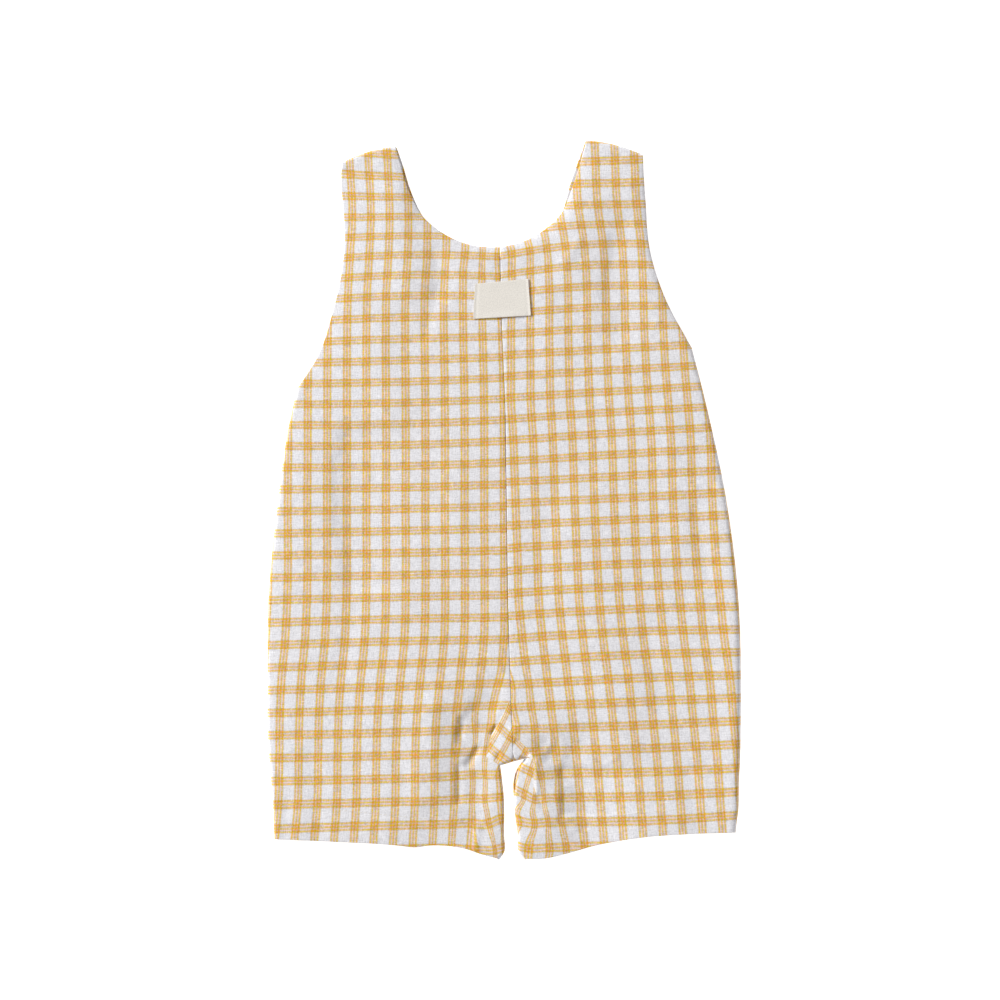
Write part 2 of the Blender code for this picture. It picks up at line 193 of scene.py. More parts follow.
# Half's side of the centre, its sections and hem, its grain with the columns at which that was
# read, and the places of one lengthwise and one crosswise stripe.
Half = namedtuple("Half", "name side sections hem grain warp_columns weft_columns warp_at weft_at")
RIGHT = Half("right", -1, RIGHT_HALF, RIGHT_HEM, RIGHT_GRAIN, (-11, -103), (-14, -60, -119), -11.5, 32)
LEFT = Half("left", 1, LEFT_HALF, LEFT_HEM, LEFT_GRAIN, (8, 107), (6, 56, 114), 4.1, 32)

# Soft ridges and troughs of the front, each along a line: a rise below 0 is a trough. Its two
# spreads are to the wearer's right (-X) and left (+X) of the line. Rows of one name make one
# bent fold.
Fold = namedtuple("Fold", "name x0 y0 x1 y1 rise right left")
FOLDS = table(
    Fold,
    ("right crotch trough", -6, -106, -8, -118, -0.5, 8, 6),
    ("right crotch trough", -8, -118, -9.5, -131, -1, 10, 7),
    ("right crotch trough", -9.5, -131, -10.5, -143, -1.2, 10, 7.5),
    ("right crotch trough", -10.5, -143, -12.8, -154, -1.2, 9, 8),
    ("right crotch trough", -12.8, -154, -16, -174, -1.1, 8.5, 10),
    ("right crotch trough", -16, -174, -18.5, -192, -0.7, 8, 12),
    ("right crotch core", -17, -121, -22, -130, -0.9, 4, 14),
    ("right crotch core", -22, -130, -25, -142, -1.4, 4, 16),
    ("right crotch core", -25, -142, -25, -172, -0.7, 4.5, 12),
    ("right thigh ridge", 4, -116, 2.6, -133, 0.3, 8.5, 6),
    ("right thigh ridge", 2.6, -133, 1, -148, 0.3, 8.5, 6),
    ("right inner leg ridge", -7, -155, -6.5, -204, 0.3, 6, 6),
    ("left thigh ridge", 5.5, -135, 13, -141, 0.8, 3.5, 8),
    ("left thigh ridge", 13, -141, 17.6, -150, 0.8, 4.6, 9),
    ("left thigh ridge", 17.6, -150, 18.5, -160, 0.5, 9, 11),
    ("left thigh ridge", 18.5, -160, 20, -190, 0.4, 14, 14),
    ("left leg trough", 22.5, -143.5, 28, -149.5, -1.4, 5, 7),
    ("left leg trough", 28, -149.5, 38, -156, -2.2, 7, 11),
    ("left leg trough", 38, -156, 49, -164, -2.8, 12.5, 24),
    ("left leg trough", 49, -164, 51.5, -188, -3, 15.5, 34),
    ("left outer leg swell", 66, -120, 72, -200, 0.7, 16, 16),
    ("right outer leg swell", -72, -120, -66, -200, 0.6, 18, 18),
    ("right crotch swell", -42, -122, -42, -172, 1.1, 12, 8),
    ("right side trough", -90, 36, -88, -48, -1.1, 6.5, 30),
    ("left side swell, lower", 140.5, 20, 141, -200, 1.2, 13, 14),
    ("left strap swell", 44, 176, 36, 128, 0.5, 9, 16),
    ("right strap swell", -64, 176, -56, 124, 0.9, 14, 10),
    ("left chest trough", 70, 158, 67, 98, -0.9, 10, 12),
    ("right hip swell", -60, -40, -40, -110, 0.6, 20, 20),
    ("left hip swell", 46, -20, 60, -110, 0.6, 20, 20),
)
# Finer creases of the front.
CREASES = table(
    Fold,
    ("right thigh slit", -5.2, -132, -7.4, -136.4, -1.5, 0.9, 1),
    ("right thigh fold edge, upper", 1.2, -121, -4, -130, -0.25, 1.1, 1.4),
    ("right thigh fold edge, lower", -8.2, -139, -10.2, -147, -0.3, 1.2, 1.6),
    ("right thigh second crease", -15.5, -145.5, -21, -154, -1.2, 2.2, 2.6),
    ("right knee step", -26.5, -155, -26.5, -176, -0.5, 1.3, 2.4),
    ("right thigh dimple", -25, -128, -26.5, -137, -0.8, 2, 2.6),
    ("right crotch dimple", -3.4, -148.8, -3.8, -150.4, -0.9, 1.5, 1.5),
    ("left inseam groove", 12.4, -151.8, 8.6, -155.3, -2.6, 2.6, 0.55),
    ("left inseam groove", 8.6, -155.3, 7, -161, -2.6, 2.6, 0.55),
    ("left inseam groove", 7, -161, 6.2, -169, -2.2, 2.6, 0.55),
    ("left inseam groove", 6.2, -169, 6, -178, -1, 2.6, 0.55),
    ("left fold edge, upper", 5.2, -136.5, 14.5, -145.5, 0.4, 1.2, 1.2),
    ("left fold pocket", 7, -141, 14, -148, -0.7, 1.6, 1.2),
    ("left curl", 11, -151.2, 14.4, -150.9, -1.2, 0.7, 0.8),
    ("left fold edge, lower", 18.4, -153, 18.9, -170, 0.6, 1, 2),
    ("left inner thigh hollow", 12.5, -160, 11, -170, -0.2, 3, 3),
    ("left knee step", 34.6, -158, 35.2, -182, -1, 2.4, 26),
    ("left knee crease", 20, -173, 22.5, -179, -0.5, 1.6, 1.6),
    ("left hem dent", 33, -186, 37, -190, -0.4, 2.6, 2.6),
    ("right hem roll", -15, -190, -17, -206, 0.5, 2.4, 2.4),
    ("right strap dent", -39, 144, -38, 122, -0.7, 5, 7),
    ("left strap dent", 64, 150, 61, 118, -0.5, 4, 5),
    ("left strap crease", 44, 150, 36, 140, 0.4, 4, 4),
    ("right neck crease", -40, 120, -45, 96, -0.35, 4, 4),
    ("left neck swell", 24, 118, 30, 84, 0.4, 9, 9),
    ("right chest swell", -74, 92, -66, 50, 0.5, 11, 11),
    ("right side crease", -98, 24, -97, -20, -0.4, 2.6, 5),
    ("right waist swell", -30, 20, -26, -30, 0.35, 8, 8),
    ("left waist trough", 30, 10, 22, -46, -0.35, 8, 8),
    ("left side crease", 112, -6, 118, -44, -0.45, 5, 5),
    ("left side swell", 96, 50, 104, -20, 0.4, 10, 10),
    ("right hip crease", -88, -64, -94, -98, -0.4, 6, 6),
    ("left hip crease", 84, -78, 92, -120, -0.4, 6, 6),
    ("right thigh dent", -52, -150, -50, -176, 0.4, 5, 5),
    ("right outer crease", -112, -150, -108, -196, -0.4, 5, 5),
    ("left outer crease", 108, -160, 112, -192, -0.4, 5.5, 5.5),
    ("left thigh crease", 50, -150, 54, -190, 0.35, 5, 5),
    ("right hem corner", -126, -176, -128, -196, -0.4, 4, 4),
)
# Hollows under the back, which lies flat on the surface between them.
BACK_CREASES = table(
    Fold,
    ("right seat crease", -18, -96, -46, -132, 0.55, 3.6, 3.6),
    ("left seat crease", 16, -100, 40, -140, 0.5, 3.2, 3.2),
    ("right crotch gather", -6, -120, -16, -150, 0.6, 2.4, 2.4),
    ("left crotch gather", 12, -124, 22, -152, 0.55, 2.2, 2.2),
    ("right leg crease", -40, -150, -38, -190, 0.35, 3.5, 3.5),
    ("left leg crease", 46, -156, 50, -192, 0.35, 3, 3),
    ("right side crease", -104, -20, -96, -84, 0.4, 4.5, 4.5),
    ("left side crease", 108, 6, 100, -52, 0.35, 4, 4),
    ("right waist crease", -66, 40, -50, -10, 0.3, 6, 6),
    ("left waist crease", 70, 54, 60, 12, 0.3, 5, 5),
    ("right strap crease", -76, 160, -70, 118, 0.3, 4, 4),
    ("left strap crease", 66, 150, 58, 112, 0.3, 4, 4),
)

# Crossings of a lengthwise and a crosswise stripe, where the folds move them: x, y and the two
# stripes' numbers, counted from the grain's own. Where a number is None, only the other holds.
Crossing = namedtuple("Crossing", "x y warp weft")
DRAWN = {
    "right": table(
        Crossing,
        (-3.4, 144, 1, None), (-3, 132, 1, None), (-12.8, 134, 0, None), (-23.8, 134, -1, None),
        (-2.5, 118, 1, None), (-2.2, -102.5, 1, None), (-4.3, -109.5, 1, None), (-6.1, -117, 1, None),
        (-7.2, -124, 1, None), (-9.9, -140, 1, None), (-11.2, -150.5, 1, None), (-14.9, -113, 0, None),
        (-16.6, -141, 0, None), (-11.2, -160, 1, -15), (-11.2, -174, 1, -16), (-8.7, -188.3, 1, -17),
        (-5.1, -203.8, 1, -18), (-2.7, -160, 2, -15), (-1.9, -173, 2, -16), (-1.2, -185.5, 2, -17),
        (-0.6, -202.7, 2, -18), (-18.3, -160, 0, -15), (-18.5, -174, 0, -16), (-18.8, -188.3, 0, -17),
        (-19.6, -203.8, 0, -18),
    ),
    "left": table(
        Crossing,
        (4.5, 144, 0, None), (15.2, 144, 1, None), (4.6, 128, 0, None), (4.5, -109.5, -1, None),
        (7, -131, -1, None), (14.4, -108, 0, None), (17.9, -134.6, 0, None), (21.5, -160.3, 0, -15),
        (23.1, -173.8, 0, -16), (25.7, -187.6, 0, -17), (26.7, -202.6, 0, -18), (32.3, -173.7, 1, -16),
        (33.4, -187.5, 1, -17), (36.2, -202.1, 1, -18), (17.7, -174.2, -1, -16),
        (17.9, -188.3, -1, -17), (14.4, -203, -1, -18), (11.6, -171.6, -2, -16), (8.3, -187, -2, -17),
        (9, -178.4, -2, None), (7, -175, -2.5, -16.4),
    ),
}
# How far a crossing draws the cloth, and how much it may miss its mark by.
DRAW_REACH = 9
DRAW_EASE = 0.02
# How far past its two columns, as shares of their distance, the lengthwise run is carried on.
COLUMN_REACH = (-0.2, 1.3)
# How much of the front's grain the hidden back has.
BACK_LEAN = 0.6

# Turned cloth at the inner thighs: its outline, and its crossings.
Turned = namedtuple("Turned", "half outline crossings")
TURNED = (
    Turned(
        "right",
        (
            (2.9, -117), (-0.4, -124.7), (-3.5, -130.5), (-6.5, -135.7), (-8.4, -140.4), (-9.6, -145),
            (-10.5, -149.7), (-4.1, -153.8), (-1.7, -155.2), (9, -158), (12, -117),
        ),
        table(
            Crossing,
            (2.6, -121.4, 2, -12), (-2.6, -132.4, 2, -13), (-8.4, -144.2, 2, -14),
            (-3, -148.4, 3, -14), (4.2, -138.4, 3, -13),
        ),
    ),
    Turned(
        "left",
        (
            (3.9, -135), (10.5, -141.5), (13.9, -144.6), (14.6, -147.6), (12.6, -150.2), (9, -151.4),
            (0, -158), (-3, -136),
        ),
        table(Crossing, (13.1, -146.4, 1, -13), (5.1, -138.2, 0, -13), (8.6, -155.4, 1, -14)),
    ),
    Turned(
        "left",
        (
            (9, -151.4), (12.6, -150.2), (14.8, -147.4), (16.6, -148.6), (17.6, -152), (18.2, -156.7),
            (17.5, -164), (16.9, -172.6), (5, -171.2), (3, -160),
        ),
        table(
            Crossing,
            (15.6, -158.1, -2, -15), (11.6, -171.6, -2, -16), (11.6, -156.5, -2.55, -15),
            (7.2, -168.3, -2.7, -16), (17.5, -174.3, -1.1, -16),
        ),
    ),
)

# The label: its corners from lower right (the wearer's) round to upper right, its width and
# height, how far its seams lie from its ends as a share of the width, how far it stands off the
# front and how much less at its seams, and the middle and bend of the neckline above it.
LABEL_CORNERS = ((-18, 105.3), (15.7, 107.3), (14.1, 128.7), (-16.8, 125.8))
LABEL_WIDTH, LABEL_HEIGHT = 31, 21
LABEL_SEAM = 0.045
LABEL_OFF, LABEL_SUNK = 0.32, 0.12
NECK_MIDDLE, NECK_BEND = 147.5, 0.0065

# Rows of stitches: from one to the next, from each end of the row, and a stitch's own size.
Stitch = namedtuple("Stitch", "pitch inset length radius")
HEM_STITCH = Stitch(2.9, 1.0, 1.9, 0.10)
LABEL_STITCH = Stitch(1.9, 1.6, 1.3, 0.11)

# How far the hem's stitches lie above the row of points that they follow, so that they are half
# sunk in the front's upper face and in the back's underside.
HEM_STITCH_RAISED = {"front": 0.02, "back": 0.16}

# The centre seams' allowance: half its width, its points across, its wall, and the space between
# it and the panel.
ALLOWANCE_REACH, ALLOWANCE_POINTS, ALLOWANCE_WALL, ALLOWANCE_OFF = 6, 9, 0.26, 0.12

# A distance at which no edge or outline has any effect.
FAR = 400

# Steps of a rounded edge, in degrees from its outermost line to the flat of the cloth.
CLOSED_STEPS = np.radians([0, 15, 30, 45, 60, 75, 90])
OPEN_STEPS = np.radians([12, 32, 52, 72, 90])
# Two more insets of an open edge, on the flat, so that it has as many steps as a closed one.
OPEN_FLAT = (1.0, 1.65)
# How many sections above the crotch and the underarm the closed edges take to open.
CROTCH_EASE, UNDERARM_EASE = 0.16, 0.3
# How far the rows beside the crotch bend up, from how far off, and how close to the edge.
CROTCH_BEND, CROTCH_BEND_REACH, CROTCH_BEND_EDGE = 4.0, 40.0, 5.0
# Points across a panel, how much closer they are at its inner edge, and the back's coarseness.
FRONT_COLUMNS, BACK_COLUMNS = 120, 64
INNER_CROWDING = 0.48
BACK_COARSENESS = 1.7


def length_setting(name, description, default):
    """A length that the user sets."""
    return FloatProperty(name=name, description=description, default=default, unit="LENGTH", precision=5)


def colour_setting(name, description, default):
    """A colour that the user sets."""
    return FloatVectorProperty(name=name, description=description, default=default, subtype="COLOR")


class DungareesCloth(bpy.types.PropertyGroup):
    """Sizes of the cloth panels."""

    thickness: length_setting("Thickness", "Wall of the cloth", 0.9 * MM)
    roll: length_setting("Side roll", "Outer radius of the cloth where it turns round a side seam", 1.65 * MM)
    seam_gap: length_setting("Seam gap", "Clearance between two panels that are sewn together", 0.1 * MM)
    loft: length_setting("Loft", "How far the middle of the front lifts off the back", 1.0 * MM)
    row_spacing: length_setting("Row spacing", "Distance of the front's rows above the thighs", 1.6 * MM)
    leg_row_spacing: length_setting("Leg row spacing", "Distance of the front's rows on the legs", 0.75 * MM)
    hem_depth: length_setting("Hem depth", "Height of the stitched turn-up above the hem", 17.0 * MM)
    thread: colour_setting("Hem thread", "Colour of the thread of the hems", (0.66, 0.60, 0.50))


class DungareesChecks(bpy.types.PropertyGroup):
    """Sizes and colours of the woven checks."""

    warp_repeat: length_setting("Lengthwise repeat", "From one lengthwise stripe to the next", 11.42 * MM)
    weft_repeat: length_setting("Crosswise repeat", "From one crosswise stripe to the next", 12.52 * MM)
    yarn: length_setting("Yarn pitch", "From one yarn of the plain weave to the next", 0.44 * MM)
    ground: colour_setting("Ground", "Colour of the undyed cloth", (0.728, 0.7285, 0.759))
    line_tint: colour_setting("Line tint", "What a mustard line leaves of the ground", (0.885, 0.70, 0.06))
    warm_line_tint: colour_setting("Warm line tint", "The same where it is more orange", (1.0, 0.575, 0.16))
    gap_tint: colour_setting("Gap tint", "What the peach between two lines leaves of it", (0.94, 0.725, 0.73))


class DungareesLabel(bpy.types.PropertyGroup):
    """Sizes and colours of the blank woven label."""

    thickness: length_setting("Thickness", "Wall of the label", 0.42 * MM)
    lift: length_setting("Corner lift", "How far the label's loose corners stand off the cloth", 0.42 * MM)
    colour: colour_setting("Colour", "Colour of the tape", (0.732, 0.703, 0.650))
    thread: colour_setting("Label thread", "Colour of the thread of the label", (0.83, 0.77, 0.67))


class DungareesStage(bpy.types.PropertyGroup):
    """Camera and lights of the studio."""

    camera_height: length_setting("Camera height", "Height of the camera", 1.380)
    camera_x: length_setting("Camera place", "X of the camera", -2.33 * MM)
    lens: FloatProperty(name="Lens", description="Focal length in millimetres", default=85.0)
    key_power: FloatProperty(name="Key light", description="Power of the key light in watts", default=900.0)
    fill_power: FloatProperty(name="Fill light", description="Power of the fill light in watts", default=30.0)
    surround: FloatProperty(name="Surround", description="Brightness of the surround", default=0.355)
    surround_colour: colour_setting("Surround colour", "Colour of the surround's light", (1.0, 0.96, 0.93))


# --- shapes ---------------------------------------------------------------------------------


def piece_slopes(points, corners):
    """Slopes at both ends of each piece of a curve through the points: at a point the mean of
    its two chords, and at a corner one that carries the piece's own bend on."""
    chords = np.diff(points, axis=0)
    lengths = np.linalg.norm(chords, axis=1)[:, None]
    straight = chords / lengths
    shared = straight[:-1] * lengths[1:] + straight[1:] * lengths[:-1]
    shared = shared / (lengths[1:] + lengths[:-1])
    leave, arrive = straight.copy(), straight.copy()
    leave[1:], arrive[:-1] = shared, shared
    for corner in corners:
        if corner < len(straight):
            leave[corner] = 1.5 * straight[corner] - 0.5 * arrive[corner]
        if corner > 0:
            arrive[corner - 1] = 1.5 * straight[corner - 1] - 0.5 * leave[corner - 1]
    return lengths * leave, lengths * arrive


def hermite(share, start, end, leave, arrive):
    """A cubic from start to end, with their slopes: the four Hermite blends of the share."""
    return (
        (2 * share**3 - 3 * share**2 + 1) * start
        + (share**3 - 2 * share**2 + share) * leave
        + (3 * share**2 - 2 * share**3) * end
        + (share**3 - share**2) * arrive
    )


def edge_curve(points, corners, stations):
    """The curve at stations, each a piece number plus a share: cubic Hermite blends of the
    piece's two ends and two end slopes."""
    leave, arrive = piece_slopes(points, corners)
    piece = np.clip(stations.astype(int), 0, len(leave) - 1)
    share = (stations - piece)[:, None]
    return hermite(share, points[piece], points[piece + 1], leave[piece], arrive[piece])


def section_number(half, name):
    """The number of a named section, counted from the hem."""
    return [section.name for section in half.sections].index(name)


def section_ends(half):
    """The inner and the outer ends of a half's sections."""
    inner = np.array([(section.in_x, section.in_y) for section in half.sections])
    outer = np.array([(section.out_x, section.out_y) for section in half.sections])
    return inner, outer


def open_insets(wall):
    """Steps of an open edge: round the half circle of the wall, then on to the roll's depth."""
    return np.append(0.5 * wall * (1 - np.cos(OPEN_STEPS)), OPEN_FLAT)


def open_falls(wall):
    """How far each step of an open edge lies below the flat: the wall's half circle."""
    return np.append(0.5 * wall * (1 - np.sin(OPEN_STEPS)), np.zeros(len(OPEN_FLAT)))


def row_stations(half, spacing, leg_spacing, wall, roll):
    """Rows at even distances along each piece, closer on the legs, with the steps of the round
    hem at the start and of the rolled shoulder at the end."""
    lengths = sum(np.linalg.norm(np.diff(ends, axis=0), axis=1) for ends in section_ends(half)) / 2
    thigh, hip = section_number(half, "thigh"), section_number(half, "hip")
    hem_steps = open_insets(wall) / lengths[0]
    roll_steps = 1 - roll * (1 - np.cos(CLOSED_STEPS[::-1])) / lengths[-1]
    stations = [hem_steps]
    for piece, length in enumerate(lengths):
        start = hem_steps[-1] if piece == 0 else 0.0
        end = roll_steps[0] if piece == len(lengths) - 1 else 1.0
        step = leg_spacing if piece < thigh else (leg_spacing + spacing) / 2 if piece < hip else spacing
        count = max(2, int(round(length * (end - start) / step)))
        shares = start + (end - start) * np.arange(count) / count
        stations.append(piece + (shares[1:] if piece == 0 else shares))
    stations.append(len(lengths) - 1 + roll_steps)
    return np.concatenate(stations)


def edge_ends(half, is_back, gap):
    """The sections' inner and outer ends, with the seam clearance and the back's own neckline."""
    inner, outer = section_ends(half)
    crotch, neck = section_number(half, "crotch"), section_number(half, "neck")
    inner[crotch : neck + 1, 0] += half.side * gap / 2
    if is_back:
        for shift in BACK_NECK:
            inward = shift.right_in if half.side < 0 else -shift.left_in
            inner[section_number(half, shift.section)] += (inward, shift.up)
        outer[section_number(half, "underarm") + 1 : -1, 0] -= half.side * BACK_ARMHOLE_INSET
    return inner, outer


def eased(share):
    """0 below 0 and 1 above 1, with a smooth step between: 3 s squared less 2 s cubed."""
    share = np.clip(share, 0, 1)
    return share * share * (3 - 2 * share)


def closed_shares(half, stations):
    """How far each row's inner and outer edge is sewn shut: 1 below the crotch and the
    underarm, easing to 0 just above them."""
    inner = 1 - eased((stations - section_number(half, "crotch")) / CROTCH_EASE)
    outer = 1 - eased((stations - section_number(half, "underarm")) / UNDERARM_EASE)
    return inner[:, None], outer[:, None]


def inward_normals(path, side):
    """Unit normals of an edge, pointing into a panel that lies to its left (1) or right (-1)."""
    along = np.gradient(path, axis=0)
    along = along / np.linalg.norm(along, axis=1)[:, None]
    return side * np.stack([-along[:, 1], along[:, 0]], axis=1)


def bent_rows(points, half, stations):
    """Bends the rows beside the crotch up by the difference of two exponentials of the distance
    from the inner edge, most at the crotch's own row."""
    from_crotch = (stations - section_number(half, "crotch"))[:, None]
    weight = np.clip(np.where(from_crotch < 0, 1 + from_crotch, 1 - 2 * from_crotch), 0, 1)
    away = np.linalg.norm(points - points[:, :1], axis=2)
    rise = np.exp(-away / CROTCH_BEND_REACH) - np.exp(-away / CROTCH_BEND_EDGE)
    bent = points.copy()
    bent[..., 1] += CROTCH_BEND * weight * rise
    return bent


def bowed(points, half):
    """Lifts the hem by its table's curve and the shoulder by a parabola off the straight lines
    between their corners, fading away from both."""
    span = np.linalg.norm(points[:, -1] - points[:, 0], axis=1)[:, None]
    share = np.linalg.norm(points - points[:, :1], axis=2) / span
    rise = smooth_between([bow.share for bow in half.hem], [bow.rise for bow in half.hem], share)
    above_hem = points[..., 1] - points[:1, :, 1]
    below_top = points[-1:, :, 1] - points[..., 1]
    fade = np.clip(1 - above_hem / HEM_BOW_REACH, 0, 1) ** 2
    top_fade = np.clip(1 - below_top / SHOULDER_BOW_REACH, 0, 1)
    lifted = points.copy()
    lifted[..., 1] += rise * fade + 4 * SHOULDER_BOW * share * (1 - share) * top_fade
    return lifted


def smooth_between(places, values, at):
    """A smooth curve through the values: cubic Hermite pieces whose slopes are the means of
    their neighbours', carried on straight beyond both ends."""
    places, values = np.array(places, float), np.array(values, float)
    if places[0] > places[-1]:
        places, values = places[::-1], values[::-1]
    slopes = np.gradient(values, places)
    piece = np.clip(np.searchsorted(places, at) - 1, 0, len(places) - 2)
    width = places[piece + 1] - places[piece]
    share = np.clip((at - places[piece]) / width, 0, 1)
    beyond = at - np.clip(at, places[0], places[-1])
    leave, arrive = width * slopes[piece], width * slopes[piece + 1]
    inside = hermite(share, values[piece], values[piece + 1], leave, arrive)
    return inside + beyond * np.where(at > places[-1], slopes[-1], slopes[0])


def panel_edges(points, half, stations):
    """The named edges of a panel, each thinned to a point every few millimetres."""
    numbers = [section_number(half, name) for name in ("crotch", "underarm", "neck")]
    crotch, underarm, neck = np.searchsorted(stations, numbers)
    edges = {
        "hem": points[0],
        "inseam": points[: crotch + 1, 0],
        "centre": points[crotch : neck + 1, 0],
        "neckline": points[neck:, 0],
        "side": points[: underarm + 1, -1],
        "armhole": points[underarm:, -1],
        "shoulder": points[-1],
    }
    return {name: np.vstack([edge[:-1:3], edge[-1:]]) for name, edge in edges.items()}


def distance_to(points, edge):
    """Each point's distance from a line of straight stretches, one stretch at a time."""
    nearest = np.full(points.shape[:-1], np.inf)
    for start, end in zip(edge[:-1], edge[1:]):
        run = end - start
        offset = points - start
        share = np.clip((offset * run).sum(axis=-1) / (run * run).sum(), 0, 1)
        nearest = np.minimum(nearest, np.linalg.norm(offset - share[..., None] * run, axis=-1))
    return nearest


def settle(distance, reach):
    """0 at an edge, rising to 1 over about three reaches: 1 - exp(-d / reach)."""
    return 1 - np.exp(-np.maximum(distance, 0) / reach)


def near(distance, reach):
    """1 at an edge, falling to 0 over about two reaches: exp(-(d / reach) squared)."""
    return np.exp(-((distance / reach) ** 2))


def fold_height(x, y, folds):
    """The sum of the folds: each is a bell curve across its line, of its own spread to either
    side, and fades at both ends. Rows of one name count as one fold, the strongest at a point."""
    total, name, bent = np.zeros_like(x), None, np.zeros_like(x)
    for fold in folds:
        along = np.array([fold.x1 - fold.x0, fold.y1 - fold.y0])
        length = np.hypot(*along)
        along = along / length
        distance = (x - fold.x0) * along[0] + (y - fold.y0) * along[1]
        beyond = np.maximum(np.maximum(-distance, distance - length), 0)
        off = (x - fold.x0) * along[1] - (y - fold.y0) * along[0]
        spread = np.where(off * -np.sign(along[1]) < 0, fold.left, fold.right)
        spread_beyond = min(fold.left, fold.right)
        height = fold.rise * np.exp(-((off / spread) ** 2) - (beyond / spread_beyond) ** 2)
        if fold.name != name:
            total, name, bent = total + bent, fold.name, height
        bent = np.where(np.abs(height) > np.abs(bent), height, bent)
    return total + bent


def ripple(x, y):
    """The slight unevenness of pressed cloth: a few crossing waves of unlike length."""
    return (
        0.06 * np.sin(x / 11.3 + 1.1 * np.sin(y / 31.0)) * np.sin(y / 27.0 + 0.6)
        + 0.05 * np.sin((x + 0.6 * y) / 9.1 + 2.0) * np.sin((y - 0.3 * x) / 17.0)
        + 0.035 * np.sin((0.8 * x - y) / 6.3) * np.sin((x + y) / 23.0 + 1.4)
    )


# How far from each edge the loft builds up, on the right and on the left half.
LOFT_REACH = {
    "side": (10.0, 1.5),
    "inseam": (12.0, 12.0),
    "armhole": (14.0, 1.5),
    "neckline": (2.5, 2.5),
    "hem": (10.0, 10.0),
    "shoulder": (14.0, 14.0),
}
# The height at which front and back meet in a seam, the front's at its edges, how far an open
# edge of it drops and from how far in, and the least space between the front's wall and the back's.
SEAM_LEVEL = 1.8
EDGE_TOP = 4.7
OPEN_EDGE_DROP, OPEN_EDGE_REACH = 0.3, 5.0
LAYER_CLEARANCE = 0.35
# How far from a closed edge the folds, the creases, the ripple and the seam's groove fade.
FOLD_MARGIN, CREASE_MARGIN, RIPPLE_MARGIN, GROOVE_MARGIN = 1.6, 0.6, 6.0, 9.0
BACK_CREASE_MARGIN, BACK_GROOVE_MARGIN = 3.0, 6.0
# Depths of the grooves along a line, with their spreads. A pucker lies beside the centre seam.
Groove = namedtuple("Groove", "depth off spread")
CENTRE_GROOVE = Groove(0.14, 0.0, 1.3)
CENTRE_PUCKER = Groove(0.05, 2.6, 1.6)
HEM_GROOVE = Groove(0.05, 0.0, 1.2)
BACK_CENTRE_GROOVE = Groove(0.25, 0.0, 1.6)
BACK_HEM_GROOVE = Groove(0.3, 0.0, 0.8)
# How far the hem's turn-up lifts the front, and how far below its stitches it has done so.
TURN_UP_LIFT, TURN_UP_RUN = 0.08, 3.0


def grooved(groove, distance):
    """The depth of a groove at a distance from its line: a bell curve."""
    return groove.depth * near(distance - groove.off, groove.spread)


def from_closed_edges(away):
    """The distance from the nearest edge that is sewn shut."""
    return np.minimum(np.minimum(away["side"], away["inseam"]), away["shoulder"])


def front_top(points, away, sizes, groove=True):
    """Height of the front's upper face: lifted in the middle, folded, sunk at its open edges
    and along the centre seam, with a slight step at the hem's turn-up."""
    x, y = points[..., 0], points[..., 1]
    lift = 1.0
    for edge, (right, left) in LOFT_REACH.items():
        lift = lift * settle(away[edge], np.where(x < 0, right, left))
    from_closed = from_closed_edges(away)
    from_open = np.minimum(away["armhole"], away["neckline"])
    clear = 1 - near(from_closed, GROOVE_MARGIN)
    height = EDGE_TOP + sizes.loft / MM * lift
    height = height + fold_height(x, y, FOLDS) * (1 - near(from_closed, FOLD_MARGIN))
    height = height + fold_height(x, y, CREASES) * (1 - near(from_closed, CREASE_MARGIN))
    height = height + ripple(x, y) * (1 - near(from_closed, RIPPLE_MARGIN))
    height = height - OPEN_EDGE_DROP * near(from_open, OPEN_EDGE_REACH) * clear
    if groove:
        pucker = 1 + 0.35 * np.sin(y / 1.9 + 2.0 * np.sin(y / 7.0))
        height = height - grooved(CENTRE_GROOVE, away["centre"]) * clear
        height = height - grooved(CENTRE_PUCKER, away["centre"]) * pucker * clear
    from_stitches = away["hem"] - sizes.hem_depth / MM
    height = height + TURN_UP_LIFT * eased(-from_stitches / TURN_UP_RUN)
    height = height - grooved(HEM_GROOVE, from_stitches)
    return np.maximum(height, 2 * sizes.thickness / MM + LAYER_CLEARANCE)


def back_under(points, away, sizes):
    """Height of the back's underside: flat on the table, with shallow troughs and a stitched
    groove above the hem."""
    from_closed = from_closed_edges(away)
    from_stitches = away["hem"] - sizes.hem_depth / MM
    creases = fold_height(points[..., 0], points[..., 1], BACK_CREASES)
    height = creases + grooved(BACK_HEM_GROOVE, from_stitches)
    height = height * (1 - near(from_closed, BACK_CREASE_MARGIN))
    centre = grooved(BACK_CENTRE_GROOVE, away["centre"])
    return height + centre * (1 - near(from_closed, BACK_GROOVE_MARGIN))


def edge_profile(closed, is_inner, wall, roll):
    """Insets, and shares and falls of height, of the steps from an edge into the cloth. Closed,
    both faces run on quarter circles about one line; open, on the half circle of the wall."""
    radius = roll - wall if is_inner else roll
    closed_in = (wall if is_inner else 0.0) + radius * (1 - np.cos(CLOSED_STEPS))
    insets = closed * closed_in + (1 - closed) * open_insets(wall)
    rise = 1 - closed * (1 - np.sin(CLOSED_STEPS))
    fall = (1 - closed) * open_falls(wall)
    return insets, rise, fall


